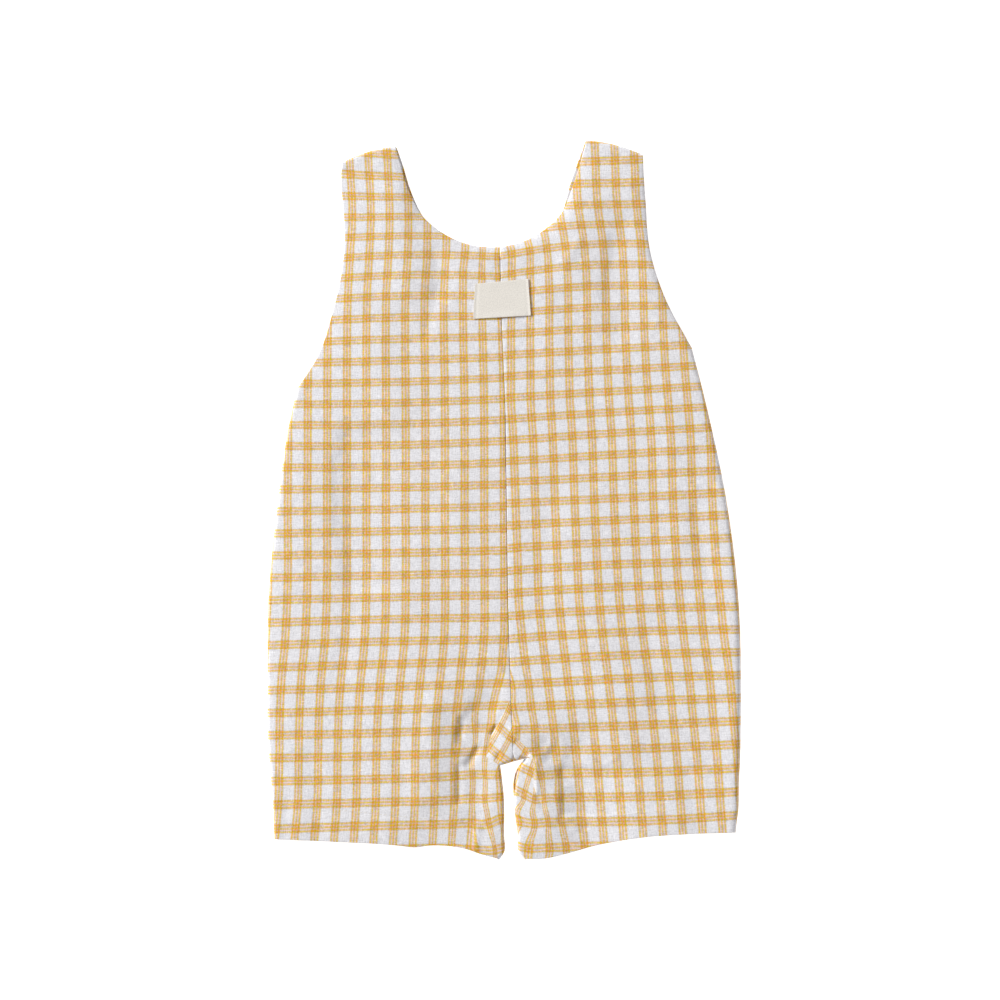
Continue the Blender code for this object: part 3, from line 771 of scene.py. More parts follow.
class PanelGrid:
    """One half of the front or back as two grids of points: the outer face and the inner one.
    outer and inner hold x, y and z in millimetres, and away the edges' distances."""

    def __init__(self, half, is_back, sizes, columns):
        wall, roll = sizes.thickness / MM, sizes.roll / MM
        unit = (BACK_COARSENESS if is_back else 1.0) / MM
        self.half = half
        self.stations = row_stations(half, sizes.row_spacing * unit, sizes.leg_row_spacing * unit, wall, roll)
        even = np.arange(1, columns) / columns
        self.shares = even * (INNER_CROWDING + (1 - INNER_CROWDING) * even)
        self.outer, self.away, outer_turn = self.face(is_back, False, sizes)
        self.inner, _, inner_turn = self.face(is_back, True, sizes)
        self.turns = outer_turn, inner_turn

    def face(self, is_back, is_inner, sizes):
        """One face's points, their distances from the edges, and how far each has turned off
        the flat: rows across from edge to edge, with rounded steps at both ends."""
        half, stations = self.half, self.stations
        wall, roll = sizes.thickness / MM, sizes.roll / MM
        ends = edge_ends(half, is_back, sizes.seam_gap / MM)
        paths = [
            edge_curve(points, [section_number(half, name) for name in corners], stations)
            for points, corners in zip(ends, (INNER_CORNERS, OUTER_CORNERS))
        ]
        normals = inward_normals(paths[0], -half.side), inward_normals(paths[1], half.side)
        shut = closed_shares(half, stations)
        profiles = [edge_profile(closed, is_inner, wall, roll) for closed in shut]
        sides = [
            path[:, None] + normal[:, None] * profile[0][..., None]
            for path, normal, profile in zip(paths, normals, profiles)
        ]
        start, end = sides[0][:, -1:], sides[1][:, -1:]
        across = start + (end - start) * self.shares[None, :, None]
        points = np.concatenate([sides[0], across, sides[1][:, ::-1]], axis=1)
        points = bowed(bent_rows(points, half, stations), half)
        edges = panel_edges(points, half, stations)
        away = {name: distance_to(points, edge) for name, edge in edges.items()}
        rise, fall = self.edge_heights(points, profiles, wall)
        inward = 1 if is_back else -1
        level = (back_under if is_back else front_top)(points, away, sizes)
        level = level + inward * (wall - fall if is_inner else fall)
        seam = SEAM_LEVEL - inward * sizes.seam_gap / MM / 2
        height = seam + (level - seam) * rise
        return np.concatenate([points, height[..., None]], axis=2), away, np.abs(level - height)

    def edge_heights(self, points, profiles, wall):
        """How far each point has turned from the seam level to the flat (0 to 1), and how far
        the round of an open edge falls there."""
        steps = len(CLOSED_STEPS)
        rise, fall = np.ones(points.shape[:2]), np.zeros(points.shape[:2])
        rise[:, :steps], fall[:, :steps] = profiles[0][1], profiles[0][2]
        rise[:, -steps:], fall[:, -steps:] = profiles[1][1][:, ::-1], profiles[1][2][:, ::-1]
        rise[-steps:] *= np.sin(CLOSED_STEPS)[::-1, None]
        hem_fall = open_falls(wall)[:, None]
        fall[: len(hem_fall)] = np.maximum(fall[: len(hem_fall)], hem_fall)
        return rise, fall


# --- the cloth's own coordinates --------------------------------------------------------------


def across_three(x, columns, values):
    """A smooth curve across three columns, straight beyond the outer two."""
    order = np.argsort(columns)
    left, middle, right = (values[index] for index in order)
    c0, c1, c2 = (columns[index] for index in order)
    first, second = (middle - left) / (c1 - c0), (right - middle) / (c2 - c1)
    bend = (second - first) / (c2 - c0)
    inside = np.clip(x, c0, c2)
    curve = left + first * (inside - c0) + bend * (inside - c0) * (inside - c1)
    lower = first + bend * (c0 - c1)
    upper = second + bend * (c2 - c1)
    return curve + lower * np.minimum(x - c0, 0) + upper * np.maximum(x - c2, 0)


def straight_grain(half, x, y, lean=1.0):
    """Each point's place in the weave, in millimetres across (u) and up (v), from the grain
    table: u is x less the stripes' run, and v is y plus their sag."""
    heights = [row.height for row in half.grain]
    warp_in, warp_out, *weft = (
        smooth_between(heights, [getattr(row, name) for row in half.grain], y) for name in Grain._fields[1:]
    )
    c0, c1 = half.warp_columns
    share = np.clip((x - c0) / (c1 - c0), *COLUMN_REACH)
    run = warp_in + (warp_out - warp_in) * share
    sag = across_three(x, half.weft_columns, weft)
    return x - half.warp_at - lean * run, y - half.weft_at + lean * sag


def drawn_to(crossings, field, part, repeat, x, y):
    """The field with a sum of bell curves added, one at each crossing, sized by solving for
    the crossings' own numbers times the repeat, give or take the ease."""
    known = [c for c in crossings if getattr(c, part) is not None]
    at = np.array([(c.x, c.y) for c in known])
    wanted = np.array([getattr(c, part) * repeat for c in known])
    apart = np.linalg.norm(at[:, None] - at[None], axis=2)
    bells = np.exp(-((apart / DRAW_REACH) ** 2)) + DRAW_EASE * np.eye(len(known))
    sizes = np.linalg.solve(bells, wanted - field(at[:, 0], at[:, 1]))
    total = field(x, y)
    for (cx, cy), size in zip(at, sizes):
        total = total + size * np.exp(-((x - cx) ** 2 + (y - cy) ** 2) / DRAW_REACH**2)
    return total


def front_place(half, x, y, checks):
    """The front's place in the weave: the straight grain, drawn to its crossings at the folds."""
    crossings = DRAWN[half.name]
    u = drawn_to(
        crossings, lambda px, py: straight_grain(half, px, py)[0], "warp", checks.warp_repeat / MM, x, y
    )
    v = drawn_to(
        crossings, lambda px, py: straight_grain(half, px, py)[1], "weft", checks.weft_repeat / MM, x, y
    )
    return u, v


def carried_round(half, place, turn):
    """The place in the weave carried on round the closed edges: the height by which a point has
    turned off the flat is added outwards, lengthwise at the shoulder and crosswise elsewhere."""
    u, v = place
    middle, steps = turn.shape[1] // 2, len(CLOSED_STEPS)
    across = np.concatenate([-turn[:, :middle], turn[:, middle:]], axis=1) * half.side
    along = np.zeros_like(turn)
    across[-steps:], along[-steps:] = 0, turn[-steps:]
    return u + across, v + along


def inside_outline(outline, x, y):
    """Signed distance from an outline, above 0 inside: the distance to its nearest side, with
    the sign from how often a ray to +X crosses it."""
    corners = np.array(outline)
    closed = np.vstack([corners, corners[:1]])
    distance = distance_to(np.stack([x, y], axis=-1), closed)
    crossed = np.zeros(x.shape, bool)
    for (x0, y0), (x1, y1) in zip(closed[:-1], closed[1:]):
        if y0 != y1:
            crossed ^= ((y0 > y) != (y1 > y)) & (x < x0 + (y - y0) * (x1 - x0) / (y1 - y0))
    return np.where(crossed, distance, -distance)


def turned_place(half, x, y, checks):
    """Turned cloth's place in the weave: a least-squares plane through its crossings (with an
    xy term from five crossings on), and the signed distance from the turned outlines."""
    u, v, depth = np.zeros_like(x), np.zeros_like(x), np.full_like(x, -FAR)
    for place in TURNED:
        if place.half != half.name:
            continue
        known = np.array(place.crossings, float)
        middle = known[:, :2].mean(axis=0)

        def terms(px, py):
            dx, dy = px - middle[0], py - middle[1]
            planes = [np.ones_like(dx), dx, dy]
            return np.stack(planes + [dx * dy] if len(known) > 4 else planes, axis=-1)

        fit = np.linalg.lstsq(terms(known[:, 0], known[:, 1]), known[:, 2:], rcond=None)[0]
        numbers = terms(x, y) @ fit
        inside = inside_outline(place.outline, x, y)
        nearer = inside > depth
        u = np.where(nearer, numbers[..., 0] * checks.warp_repeat / MM, u)
        v = np.where(nearer, numbers[..., 1] * checks.weft_repeat / MM, v)
        depth = np.maximum(depth, inside)
    return u, v, depth


# --- meshes -----------------------------------------------------------------------------------


def grid_quads(rows, columns, first, flip):
    """Quads of a grid of points whose numbers start at first."""
    number = first + np.arange(rows * columns).reshape(rows, columns)
    quads = np.stack([number[:-1, :-1], number[:-1, 1:], number[1:, 1:], number[1:, :-1]], axis=2)
    quads = quads.reshape(-1, 4)
    return quads[:, ::-1] if flip else quads


def rim_quads(rows, columns, flip):
    """Quads that join the borders of two equal grids, the second numbered after the first."""
    number = np.arange(rows * columns).reshape(rows, columns)
    border = np.concatenate([number[0, :-1], number[:-1, -1], number[-1, :0:-1], number[:0:-1, 0]])
    following = np.roll(border, -1)
    second = rows * columns
    quads = np.stack([following, border, border + second, following + second], axis=1)
    return quads[:, ::-1] if flip else quads


def shell_piece(name, outer, inner, flip, place, material, turned=None):
    """A closed wall between two grids of points in millimetres, with the cloth's coordinates,
    in metres, as its UV map. Turned cloth has a second map and its depth inside the outline."""
    rows, columns = outer.shape[:2]
    points = np.concatenate([outer.reshape(-1, 3), inner.reshape(-1, 3)]) * MM
    faces = grid_quads(rows, columns, 0, flip), grid_quads(rows, columns, rows * columns, not flip)
    quads = np.concatenate([*faces, rim_quads(rows, columns, flip)])
    mesh = bpy.data.meshes.new(name)
    mesh.from_pydata(points.tolist(), [], quads.tolist())
    maps = {"weave": place}
    if turned is not None:
        maps["turned"] = [face[:2] for face in turned]
        depths = np.concatenate([face[2].ravel() for face in turned])
        attribute = mesh.attributes.new("turned_depth", "FLOAT", "POINT")
        attribute.data.foreach_set("value", depths.astype(np.float32))
    for map_name, faces in maps.items():
        layer = mesh.uv_layers.new(name=map_name)
        flat = np.concatenate([np.stack([u.ravel(), v.ravel()], axis=1) for u, v in faces]) * MM
        layer.uv.foreach_set("vector", flat[quads.ravel()].astype(np.float32).ravel())
    mesh.shade_smooth()
    mesh.set_sharp_from_angle(angle=np.radians(60.0))
    return piece_from(name, mesh, material)


def piece_from(name, mesh, material):
    """A mesh's object in the scene, with its material, on the garment's one body."""
    mesh.materials.append(material)
    piece = bpy.data.objects.new(name, mesh)
    bpy.context.scene.collection.objects.link(piece)
    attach(piece, "root")
    return piece


def stitches_piece(name, path, up, stitch, material):
    """Stitches along a path as short spindles: eight-sided rings along each, narrower at both
    ends and flatter than wide. up is 1 on top of the cloth and -1 under it."""
    middles, directions = evenly_along(path, stitch.pitch, stitch.inset)
    ups = np.tile([0.0, 0.0, float(up)], (len(middles), 1))
    stations = np.array([-1.0, -0.8, -0.35, 0.35, 0.8, 1.0])
    widths = np.array([0.35, 0.8, 1.0, 1.0, 0.8, 0.35])[:, None]
    angles = np.arange(8) * (np.pi / 4)
    across, high = widths * np.cos(angles) * stitch.radius, widths * np.sin(angles) * stitch.radius * 0.8
    rings = (
        middles[:, None, None]
        + directions[:, None, None] * (stations * stitch.length / 2)[:, None, None]
        + np.cross(directions, ups)[:, None, None] * across[..., None]
        + ups[:, None, None] * high[..., None]
    )
    number = np.arange(rings[0, ..., 0].size).reshape(6, 8)
    following = np.roll(number, -1, axis=1)
    walls = np.stack([number[:-1], number[1:], following[1:], following[:-1]], axis=2).reshape(-1, 4)
    faces = []
    for spindle in range(len(rings)):
        first = spindle * number.size
        faces += (walls + first).tolist()
        faces += [(number[0] + first).tolist(), (number[-1, ::-1] + first).tolist()]
    mesh = bpy.data.meshes.new(name)
    mesh.from_pydata((rings.reshape(-1, 3) * MM).tolist(), [], faces)
    mesh.shade_smooth()
    piece = piece_from(name, mesh, material)
    return piece


def evenly_along(path, pitch, inset):
    """Points and unit directions at even distances along a path, inset from both ends."""
    reach = np.append(0, np.cumsum(np.linalg.norm(np.diff(path, axis=0), axis=1)))
    count = max(2, int(round((reach[-1] - 2 * inset) / pitch)) + 1)
    at = np.linspace(inset, reach[-1] - inset, count)
    points, ahead, behind = (
        np.stack([np.interp(at + step, reach, path[:, axis]) for axis in range(3)], axis=1)
        for step in (0, 0.4, -0.4)
    )
    run = ahead - behind
    return points, run / np.linalg.norm(run, axis=1)[:, None]


# --- materials --------------------------------------------------------------------------------


class Socket:
    """A shader socket that can be reckoned with like a number: each expression adds the Math
    nodes that work it out."""

    def __init__(self, tree, output):
        self.tree = tree
        self.output = output

    def node(self, kind, settings, inputs, output=0):
        """Any other node: its type, its settings, the values or links of its sockets by name or
        number, and the output to go on with."""
        made = self.tree.nodes.new(kind)
        for name, value in settings.items():
            setattr(made, name, value)
        for name, value in inputs.items():
            if isinstance(value, Socket):
                self.tree.links.new(value.output, made.inputs[name])
            else:
                made.inputs[name].default_value = value
        return Socket(self.tree, made.outputs[output])

    def math(self, operation, *values):
        return self.node("ShaderNodeMath", {"operation": operation}, dict(enumerate(values)))

    def __add__(self, other):
        return self.math("ADD", self, other)

    __radd__ = __add__

    def __mul__(self, other):
        return self.math("MULTIPLY", self, other)

    __rmul__ = __mul__

    def __sub__(self, other):
        return self.math("SUBTRACT", self, other)

    def __rsub__(self, other):
        return self.math("SUBTRACT", other, self)

    def __truediv__(self, other):
        return self.math("DIVIDE", self, other)

    def __rtruediv__(self, other):
        return self.math("DIVIDE", other, self)

    def __abs__(self):
        return self.math("ABSOLUTE", self)

    def most(self, other):
        """The larger of two values."""
        return self.math("MAXIMUM", self, other)

    def wave(self, period):
        """A sine wave of this period."""
        return self.math("SINE", self * (2 * np.pi / period))

    def step(self, low, high):
        """0 below low, 1 above high, smooth between. low may be the larger, which turns it."""
        kind, settings = "ShaderNodeMapRange", {"interpolation_type": "SMOOTHSTEP", "clamp": True}
        if low <= high:
            return self.node(kind, settings, {"Value": self, "From Min": low, "From Max": high})
        return 1 - self.node(kind, settings, {"Value": self, "From Min": high, "From Max": low})

    def mix(self, first, second):
        """The two colours mixed by this socket."""
        settings = {"data_type": "RGBA", "clamp_factor": True}
        return self.node("ShaderNodeMix", settings, {0: self, 6: first, 7: second}, 2)

    def times(self, other):
        """Two colours multiplied channel by channel."""
        settings = {"data_type": "RGBA", "blend_type": "MULTIPLY"}
        return self.node("ShaderNodeMix", settings, {0: 1.0, 6: self, 7: other}, 2)

    def noise(self, scale, detail=2.0):
        """Blender's noise at this place, from 0 to 1 about 0.5."""
        return self.node("ShaderNodeTexNoise", {}, {"Vector": self, "Scale": scale, "Detail": detail})

    def parts(self):
        """The first two components of a vector."""
        return [self.node("ShaderNodeSeparateXYZ", {}, {0: self}, part) for part in (0, 1)]

    def in_millimetres(self):
        """A place in metres, in millimetres."""
        return self.node("ShaderNodeVectorMath", {"operation": "SCALE"}, {0: self, "Scale": 1 / MM})

    def grey(self, blue=None):
        """A grey of this brightness, or one with a blue of its own."""
        channels = {0: self, 1: self, 2: self if blue is None else blue}
        return self.node("ShaderNodeCombineColor", {}, channels)

    def bump(self, strength, distance):
        """A normal bent by this height, for a relief of so many millimetres."""
        inputs = {"Strength": strength, "Distance": distance * MM, "Height": self}
        return self.node("ShaderNodeBump", {}, inputs)


def new_material(name):
    """A material with its one shader, and a socket to start expressions from."""
    material = bpy.data.materials.new(name)
    material.use_nodes = True
    tree = material.node_tree
    return material, tree.nodes["Principled BSDF"], Socket(tree, None)


def feed(shader, start, **inputs):
    """Sets or links the shader's sockets, each by its name with _ for a space."""
    for name, value in inputs.items():
        socket = shader.inputs[name.replace("_", " ")]
        if isinstance(value, Socket):
            start.tree.links.new(value.output, socket)
        else:
            socket.default_value = value


def opaque(tint):
    """A colour with full alpha."""
    return (*tint, 1.0)


WHITE = opaque((1.0, 1.0, 1.0))
# The stripe's edge, its outer lines' middles, a line's edge, and the dusky outermost yarns' middle
# and edge. An edge is given by where it starts and ends to fade, in millimetres from a middle.
STRIPE_FADE = (2.66, 2.24)
OUTER_LINE, LINE_FADE = 1.76, (0.66, 0.36)
DUSKY_YARN, DUSKY_FADE = 2.62, (0.55, 0.15)


def stripe_masks(place, repeat):
    """Masks of a stripe, of its three lines and of its dusky outermost yarns, from a place
    across it in millimetres."""
    count = place / repeat + 0.5
    off = abs((count.math("FRACT", count) - 0.5) * repeat)
    lines = off.step(*LINE_FADE).most(abs(off - OUTER_LINE).step(*LINE_FADE))
    return off.step(*STRIPE_FADE), lines, abs(off - DUSKY_YARN).step(*DUSKY_FADE)


def checked_cloth(checks):
    """Plain-woven cotton: white both ways, with stripes of three mustard lines on peach. Each
    stripe tints the ground, and most where its own yarns lie on top."""
    material, shader, start = new_material("checked_cotton")
    straight = start.node("ShaderNodeUVMap", {"uv_map": "weave"}, {})
    turned = start.node("ShaderNodeUVMap", {"uv_map": "turned"}, {})
    depth = start.node("ShaderNodeAttribute", {"attribute_name": "turned_depth"}, {}, 2)
    settings = {"data_type": "VECTOR", "factor_mode": "UNIFORM"}
    place = start.node("ShaderNodeMix", settings, {0: depth.step(0.05, 0.2), 4: straight, 5: turned}, 1)
    place = place.in_millimetres()
    drift, wander = place.noise(0.09, 1.0), place.noise(0.35)
    across, up = place.parts()
    across = across + (wander - 0.5) * 0.42
    up = up + (drift - 0.5) * 0.5 + (wander - 0.5) * 0.3
    over = across.wave(2 * checks.yarn / MM) * up.wave(2 * checks.yarn / MM)

    def yarns(across_scale, up_scale):
        """Unevenness that runs along the yarns: noise drawn out in their direction."""
        spot = {"X": across * across_scale, "Y": up * up_scale}
        return place.node("ShaderNodeCombineXYZ", {}, spot).noise(1.0)

    warp_slub, weft_slub = yarns(1.7, 0.22), yarns(0.22, 1.7)
    warp_stripe, warp_line, warp_edge = stripe_masks(across, checks.warp_repeat / MM)
    weft_stripe, weft_line, weft_edge = stripe_masks(up, checks.weft_repeat / MM)
    speck = place.noise(1.0, 1.0)
    warmth = place.noise(0.7, 1.0).step(0.36, 0.64)
    line_tint = warmth.mix(opaque(checks.line_tint), opaque(checks.warm_line_tint))
    tint, dots = None, 1
    for stripe, line, slub, top, strength in (
        (warp_stripe, warp_line, warp_slub, over, 1.0),
        (weft_stripe, weft_line, weft_slub, 0 - over, 0.93),
    ):
        level = (1.0 + 0.34 * top + (slub - 0.5) * 1.5 + (speck - 0.5) * 1.9) * strength
        dyed = (line * (1.0 + (slub - 0.5) * 0.9)).mix(opaque(checks.gap_tint), line_tint)
        layer = (stripe * level).mix(WHITE, dyed)
        tint = layer if tint is None else tint.times(layer)
        dots = line * dots
    met = dots.mix((0.985, 0.965, 0.86, 1.0), (0.985, 1.12, 0.5, 1.0))
    crossing = (warp_stripe * weft_stripe).mix(WHITE, met)
    mottle, grain = place.noise(0.16, 3.0), place.noise(1.3)
    worn = warp_stripe.most(weft_stripe) * 0.35 + 0.45
    shade = 0.965 + (mottle - 0.5) * 0.14 + (grain - 0.5) * 0.55 + (warp_slub + weft_slub - 1.0) * worn
    shade = shade + 0.03 * abs(over) - 0.05 * (warp_edge + weft_edge)
    colour = tint.times(crossing).times(opaque(checks.ground)).times(shade.grey(shade * 1.002))
    bump = (abs(over) * 0.6 + grain * 0.5 + (warp_slub + weft_slub) * 0.35).bump(0.35, 0.10)
    roughness = 0.86 + (grain - 0.5) * 0.14
    feed(shader, start, Base_Color=colour, Roughness=roughness, Normal=bump)
    feed(shader, start, Sheen_Weight=0.12, Sheen_Roughness=0.5, Specular_IOR_Level=0.22)
    return material


def woven_tape(label):
    """The label's tape: a fine close satin in cream."""
    material, shader, start = new_material("cream_satin_tape")
    place = start.node("ShaderNodeUVMap", {"uv_map": "weave"}, {}).in_millimetres()
    across, up = place.parts()
    ribs, twill = up.wave(0.5), (across + up * 2.0).wave(0.8)
    grain, mottle = place.noise(1.5), place.noise(0.22)
    shade = 1.0 + (mottle - 0.5) * 0.05 + (grain - 0.5) * 0.5 + ribs * 0.03 + twill * 0.03
    colour = shade.grey().times(opaque(label.colour))
    bump = (ribs * 0.4 + twill * 0.4 + grain * 0.6).bump(0.3, 0.08)
    feed(shader, start, Base_Color=colour, Roughness=0.72 + (grain - 0.5) * 0.12, Normal=bump)
    feed(shader, start, Sheen_Weight=0.08, Specular_IOR_Level=0.3)
    return material


def sewing_thread(name, tint):
    """Spun thread: fine uneven plies on the colour of what it sews."""
    material, shader, start = new_material(name)
    grain = start.node("ShaderNodeTexCoord", {}, {}, 3).noise(5200.0)
    colour = (0.93 + (grain - 0.5) * 0.3).grey().times(opaque(tint))
    feed(shader, start, Base_Color=colour, Roughness=0.7, Normal=grain.bump(0.4, 0.05))
    return material


def plain_floor():
    """A matt floor that glows a little, so that it comes out as plain white."""
    material, shader, start = new_material("pale_floor")
    cloud = start.node("ShaderNodeTexCoord", {}, {}, 3).noise(1.5, 1.0)
    shade = 0.90 + (cloud - 0.5) * 0.01
    feed(shader, start, Base_Color=shade.grey(), Roughness=0.9, Specular_IOR_Level=0.1)
    feed(shader, start, Emission_Color=WHITE, Emission_Strength=0.75)
    return material


# --- operators --------------------------------------------------------------------------------


def material_once(name, make, *settings):
    """A material by name, made only the first time."""
    found = bpy.data.materials.get(name)
    return found if found is not None else make(*settings)


def panel_piece(half, is_back, columns):
    """One panel's mesh, with the grid of points that it was made from."""
    scene = bpy.context.scene
    sizes, checks = scene.dungarees_cloth, scene.dungarees_checks
    grid = PanelGrid(half, is_back, sizes, columns)
    spots = [(face[..., 0], face[..., 1]) for face in (grid.outer, grid.inner)]
    if is_back:
        places, turned = [straight_grain(half, x, y, BACK_LEAN) for x, y in spots], None
    else:
        places = [front_place(half, x, y, checks) for x, y in spots]
        turned = [turned_place(half, x, y, checks) for x, y in spots]
    places = [carried_round(half, place, turn) for place, turn in zip(places, grid.turns)]
    material = material_once("checked_cotton", checked_cloth, checks)
    node = ("back_" if is_back else "front_") + half.name
    flip = (half.side < 0) != is_back
    piece = shell_piece(node + "_cloth", grid.outer, grid.inner, flip, places, material, turned)
    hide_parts(node)
    return piece, grid


class DUNGAREES_OT_backs(bpy.types.Operator):
    """Make the two back panels, which lie flat on the table"""

    bl_idname = "dungarees.backs"
    bl_label = "Back panels"

    def execute(self, context):
        for half in (RIGHT, LEFT):
            piece, grid = panel_piece(half, True, BACK_COLUMNS)
            sewn = [hem_stitches(half, grid, -1)]
            if half.side > 0:
                sewn.append(seam_allowance(grid, context.scene, "back_seam_allowance", 1))
        return {"FINISHED"}


class DUNGAREES_OT_fronts(bpy.types.Operator):
    """Make the two front panels, which lie on the backs, with the folds at the crotch"""

    bl_idname = "dungarees.fronts"
    bl_label = "Front panels"

    def execute(self, context):
        for half in (RIGHT, LEFT):
            piece, grid = panel_piece(half, False, FRONT_COLUMNS)
            sewn = [hem_stitches(half, grid, 1)]
            if half.side > 0:
                sewn.append(seam_allowance(grid, context.scene, "front_seam_allowance", -1))
        return {"FINISHED"}


def hem_stitches(half, grid, up):
    """The row of stitches that holds a hem's turn-up, half sunk in the cloth."""
    sizes, steps = bpy.context.scene.dungarees_cloth, len(CLOSED_STEPS)
    heights = grid.away["hem"][:, steps:-steps].mean(axis=1)
    row = int(np.argmin(np.abs(heights - sizes.hem_depth / MM)))
    raised = (0, 0, HEM_STITCH_RAISED["front" if up > 0 else "back"])
    path = grid.outer[row, steps - 1 : 1 - steps] + raised
    thread = material_once("hem_thread", sewing_thread, "hem_thread", sizes.thread)
    name = ("hem_stitches_front_" if up > 0 else "hem_stitches_back_") + half.name
    return stitches_piece(name, path, up, HEM_STITCH, thread)


def seam_allowance(grid, scene, name, up):
    """The pressed-open allowance of a centre seam, inside the garment: a strip that follows the
    seam, level across it, just off the panels' inner faces."""
    crotch = int(np.searchsorted(grid.stations, section_number(grid.half, "crotch") + CROTCH_EASE))
    neck = int(np.searchsorted(grid.stations, section_number(grid.half, "neck"))) - 1
    line = grid.inner[crotch:neck:2, 0]
    panel = grid.inner[crotch:neck:2, len(CLOSED_STEPS) - 1, 2]
    across = np.linspace(-ALLOWANCE_REACH, ALLOWANCE_REACH, ALLOWANCE_POINTS)
    off = ALLOWANCE_OFF if up < 0 else ALLOWANCE_OFF + ALLOWANCE_WALL
    strip = np.zeros((len(line), len(across), 3))
    strip[..., 0] = line[:, :1] + across
    strip[..., 1] = line[:, 1:2]
    strip[..., 2] = panel[:, None] + off * up
    lower = strip - (0, 0, ALLOWANCE_WALL)
    place = straight_grain(LEFT, strip[..., 0], strip[..., 1])
    cloth = material_once("checked_cotton", checked_cloth, scene.dungarees_checks)
    piece = shell_piece(name, strip, lower, False, [place, place], cloth)
    return piece


class DUNGAREES_OT_label(bpy.types.Operator):
    """Make the blank woven label and the stitches at its two ends"""

    bl_idname = "dungarees.label"
    bl_label = "Label"

    def execute(self, context):
        sizes, label = context.scene.dungarees_cloth, context.scene.dungarees_label
        outer, place = self.face(sizes, label, False)
        inner, _ = self.face(sizes, label, True)
        tape = material_once("cream_satin_tape", woven_tape, label)
        piece = shell_piece("label_tape", outer, inner, False, [place, place], tape)
        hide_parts("label")
        thread = material_once("label_thread", sewing_thread, "label_thread", label.thread)
        for end, share in (("right", LABEL_SEAM), ("left", 1 - LABEL_SEAM)):
            seam = outer[:, int(round(share * (outer.shape[1] - 1)))]
            name = "label_stitches_" + end
            stitches_piece(name, seam, 1, LABEL_STITCH, thread)
        return {"FINISHED"}

    def face(self, sizes, label, is_inner):
        """The label between its four corners, on the front's own height: the ends are sewn
        down, the long sides lift a little, and the rim is round."""
        wall, lift = label.thickness / MM, label.lift / MM
        u, v = np.meshgrid(self.shares(LABEL_WIDTH, 64, wall), self.shares(LABEL_HEIGHT, 44, wall))
        corners = np.array(LABEL_CORNERS)[:, None, None]
        share = (1 - u) * (1 - v), u * (1 - v), u * v, (1 - u) * v
        flat = sum(weight[..., None] * corner for weight, corner in zip(share, corners))
        x, y = flat[..., 0], flat[..., 1]
        across, up = u * LABEL_WIDTH, v * LABEL_HEIGHT
        from_right, from_left, from_foot, from_top = across, LABEL_WIDTH - across, up, LABEL_HEIGHT - up
        away = {name: np.full_like(x, FAR) for name in (*LOFT_REACH, "centre")}
        away["neckline"] = NECK_MIDDLE + NECK_BEND * x * x - y
        base = front_top(flat, away, sizes, groove=False)
        from_seam = np.minimum(u, 1 - u) - LABEL_SEAM
        long_sides = near(from_foot, 3.0) + 0.4 * near(from_top, 2.5)
        lifted = (0.35 + 0.65 * u) * long_sides * np.clip(from_seam / 0.25, 0, 1)
        lifted = lift * (lifted + 0.3 * near(from_left, 1.6) + 0.1 * near(from_right, 0.8))
        sewn = LABEL_SUNK * near(from_seam * LABEL_WIDTH, 0.7)
        bottom = base + LABEL_OFF + lifted - sewn
        edge = np.minimum(np.minimum(from_right, from_left), np.minimum(from_foot, from_top))
        past_round = np.maximum(wall / 2 - edge, 0)
        fall = wall / 2 - np.sqrt(wall**2 / 4 - past_round**2)
        z = bottom + fall if is_inner else bottom + wall - fall
        return np.stack([x, y, z], axis=2), (across, up)

    def shares(self, extent, count, wall):
        """Shares of an extent: the steps of the wall's half circle at both ends, even between."""
        steps = wall / 2 * (1 - np.cos(OPEN_STEPS))
        even = np.linspace(steps[-1], extent - steps[-1], count - 8)[1:-1]
        return np.concatenate([steps, even, extent - steps[::-1]]) / extent


# The floor's half width and its height, just below the cloth.
FLOOR_REACH = 4.0
FLOOR_LEVEL = -0.05 * MM


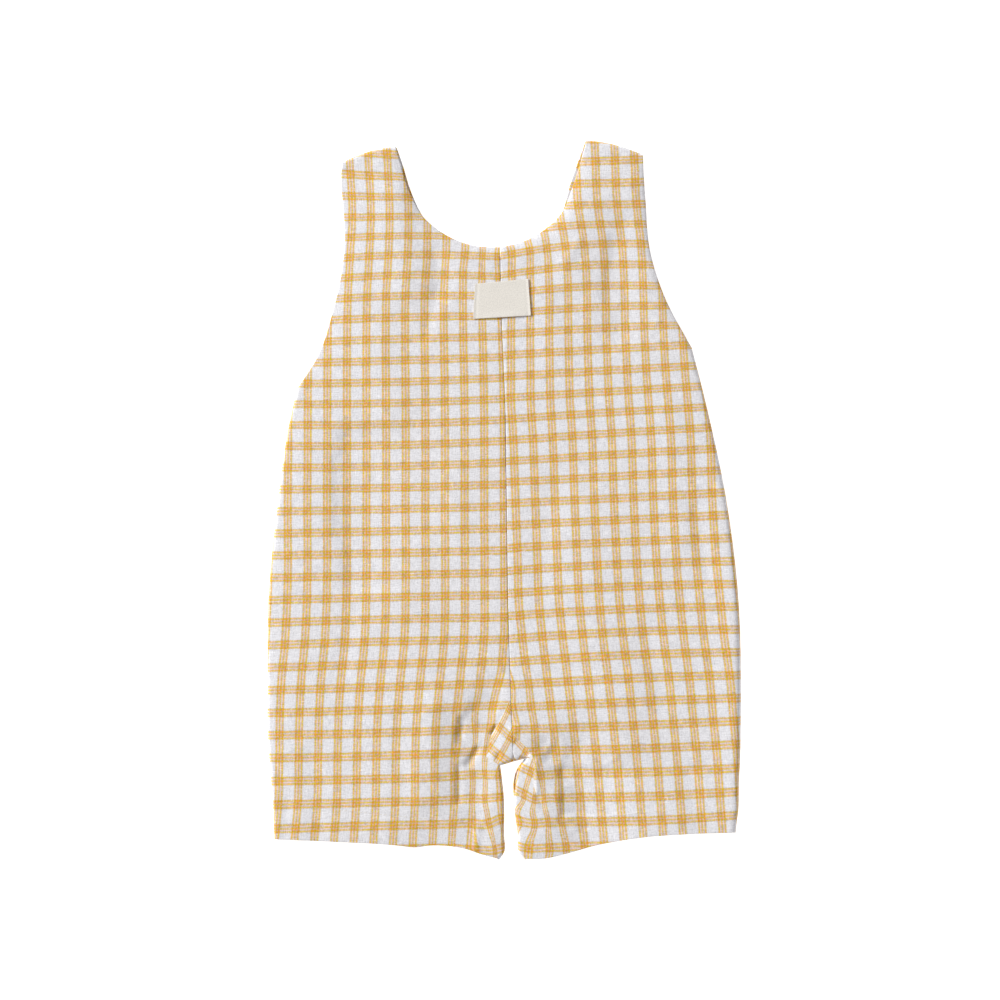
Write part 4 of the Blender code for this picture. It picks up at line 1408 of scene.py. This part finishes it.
class DUNGAREES_OT_stage(bpy.types.Operator):
    """Make the pale floor, the soft lights and the camera"""

    bl_idname = "dungarees.stage"
    bl_label = "Studio"

    def execute(self, context):
        stage, scene = context.scene.dungarees_stage, context.scene
        mesh = bpy.data.meshes.new("floor")
        corners = ((-1, -1), (1, -1), (1, 1), (-1, 1))
        points = [(x * FLOOR_REACH, y * FLOOR_REACH, FLOOR_LEVEL) for x, y in corners]
        mesh.from_pydata(points, [], [(0, 1, 2, 3)])
        mesh.materials.append(plain_floor())
        floor = bpy.data.objects.new("floor", mesh)
        scene.collection.objects.link(floor)
        world = bpy.data.worlds.new("surround")
        world.use_nodes = True
        background = world.node_tree.nodes["Background"]
        background.inputs["Color"].default_value = opaque(stage.surround_colour)
        background.inputs["Strength"].default_value = stage.surround
        scene.world = world
        self.light("key", stage.key_power, 2.6, (-6.2, 3.6, 3.5))
        self.light("fill", stage.fill_power, 3.0, (2.2, -1.9, 2.8))
        camera = bpy.data.cameras.new("camera")
        camera.lens = stage.lens
        camera.sensor_width = 36.0
        camera.clip_start = 0.05
        viewer = bpy.data.objects.new("camera", camera)
        viewer.location = (stage.camera_x, 0.0, stage.camera_height)
        scene.collection.objects.link(viewer)
        scene.camera = viewer
        scene.view_settings.view_transform = "Standard"
        return {"FINISHED"}

    def light(self, name, power, size, place):
        """A square soft light, turned so that it faces the garment."""
        lamp = bpy.data.lights.new(name, "AREA")
        lamp.energy = power
        lamp.size = size
        holder = bpy.data.objects.new(name, lamp)
        x, y, z = place
        holder.location = place
        holder.rotation_euler = (np.arctan2(np.hypot(x, y), z), 0.0, np.arctan2(x, -y))
        bpy.context.scene.collection.objects.link(holder)


class DUNGAREES_PT_pieces(bpy.types.Panel):
    """The dungarees' pieces and settings"""

    bl_label = "Dungarees"
    bl_space_type = "VIEW_3D"
    bl_region_type = "UI"
    bl_category = "Dungarees"

    def draw(self, context):
        for operator in OPERATORS:
            self.layout.operator(operator.bl_idname)
        for name in SETTINGS:
            group = getattr(context.scene, name)
            box = self.layout.box()
            for prop in group.bl_rna.properties:
                if prop.identifier not in ("name", "rna_type"):
                    box.prop(group, prop.identifier)


OPERATORS = (DUNGAREES_OT_backs, DUNGAREES_OT_fronts, DUNGAREES_OT_label, DUNGAREES_OT_stage)
SETTINGS = {
    "dungarees_cloth": DungareesCloth,
    "dungarees_checks": DungareesChecks,
    "dungarees_label": DungareesLabel,
    "dungarees_stage": DungareesStage,
}


def register():
    """Registers the settings, the operators and the panel."""
    for group in (*SETTINGS.values(), *OPERATORS, DUNGAREES_PT_pieces):
        bpy.utils.register_class(group)
    for name, group in SETTINGS.items():
        setattr(bpy.types.Scene, name, PointerProperty(type=group))


def unregister():
    """Takes the panel, the operators and the settings away again."""
    for name in SETTINGS:
        delattr(bpy.types.Scene, name)
    for group in (DUNGAREES_PT_pieces, *OPERATORS, *SETTINGS.values()):
        bpy.utils.unregister_class(group)


def main():
    """Makes every piece and the studio."""
    register()
    bpy.ops.dungarees.backs()
    bpy.ops.dungarees.fronts()
    bpy.ops.dungarees.label()
    bpy.ops.dungarees.stage()


if __name__ == "__main__":
    main()
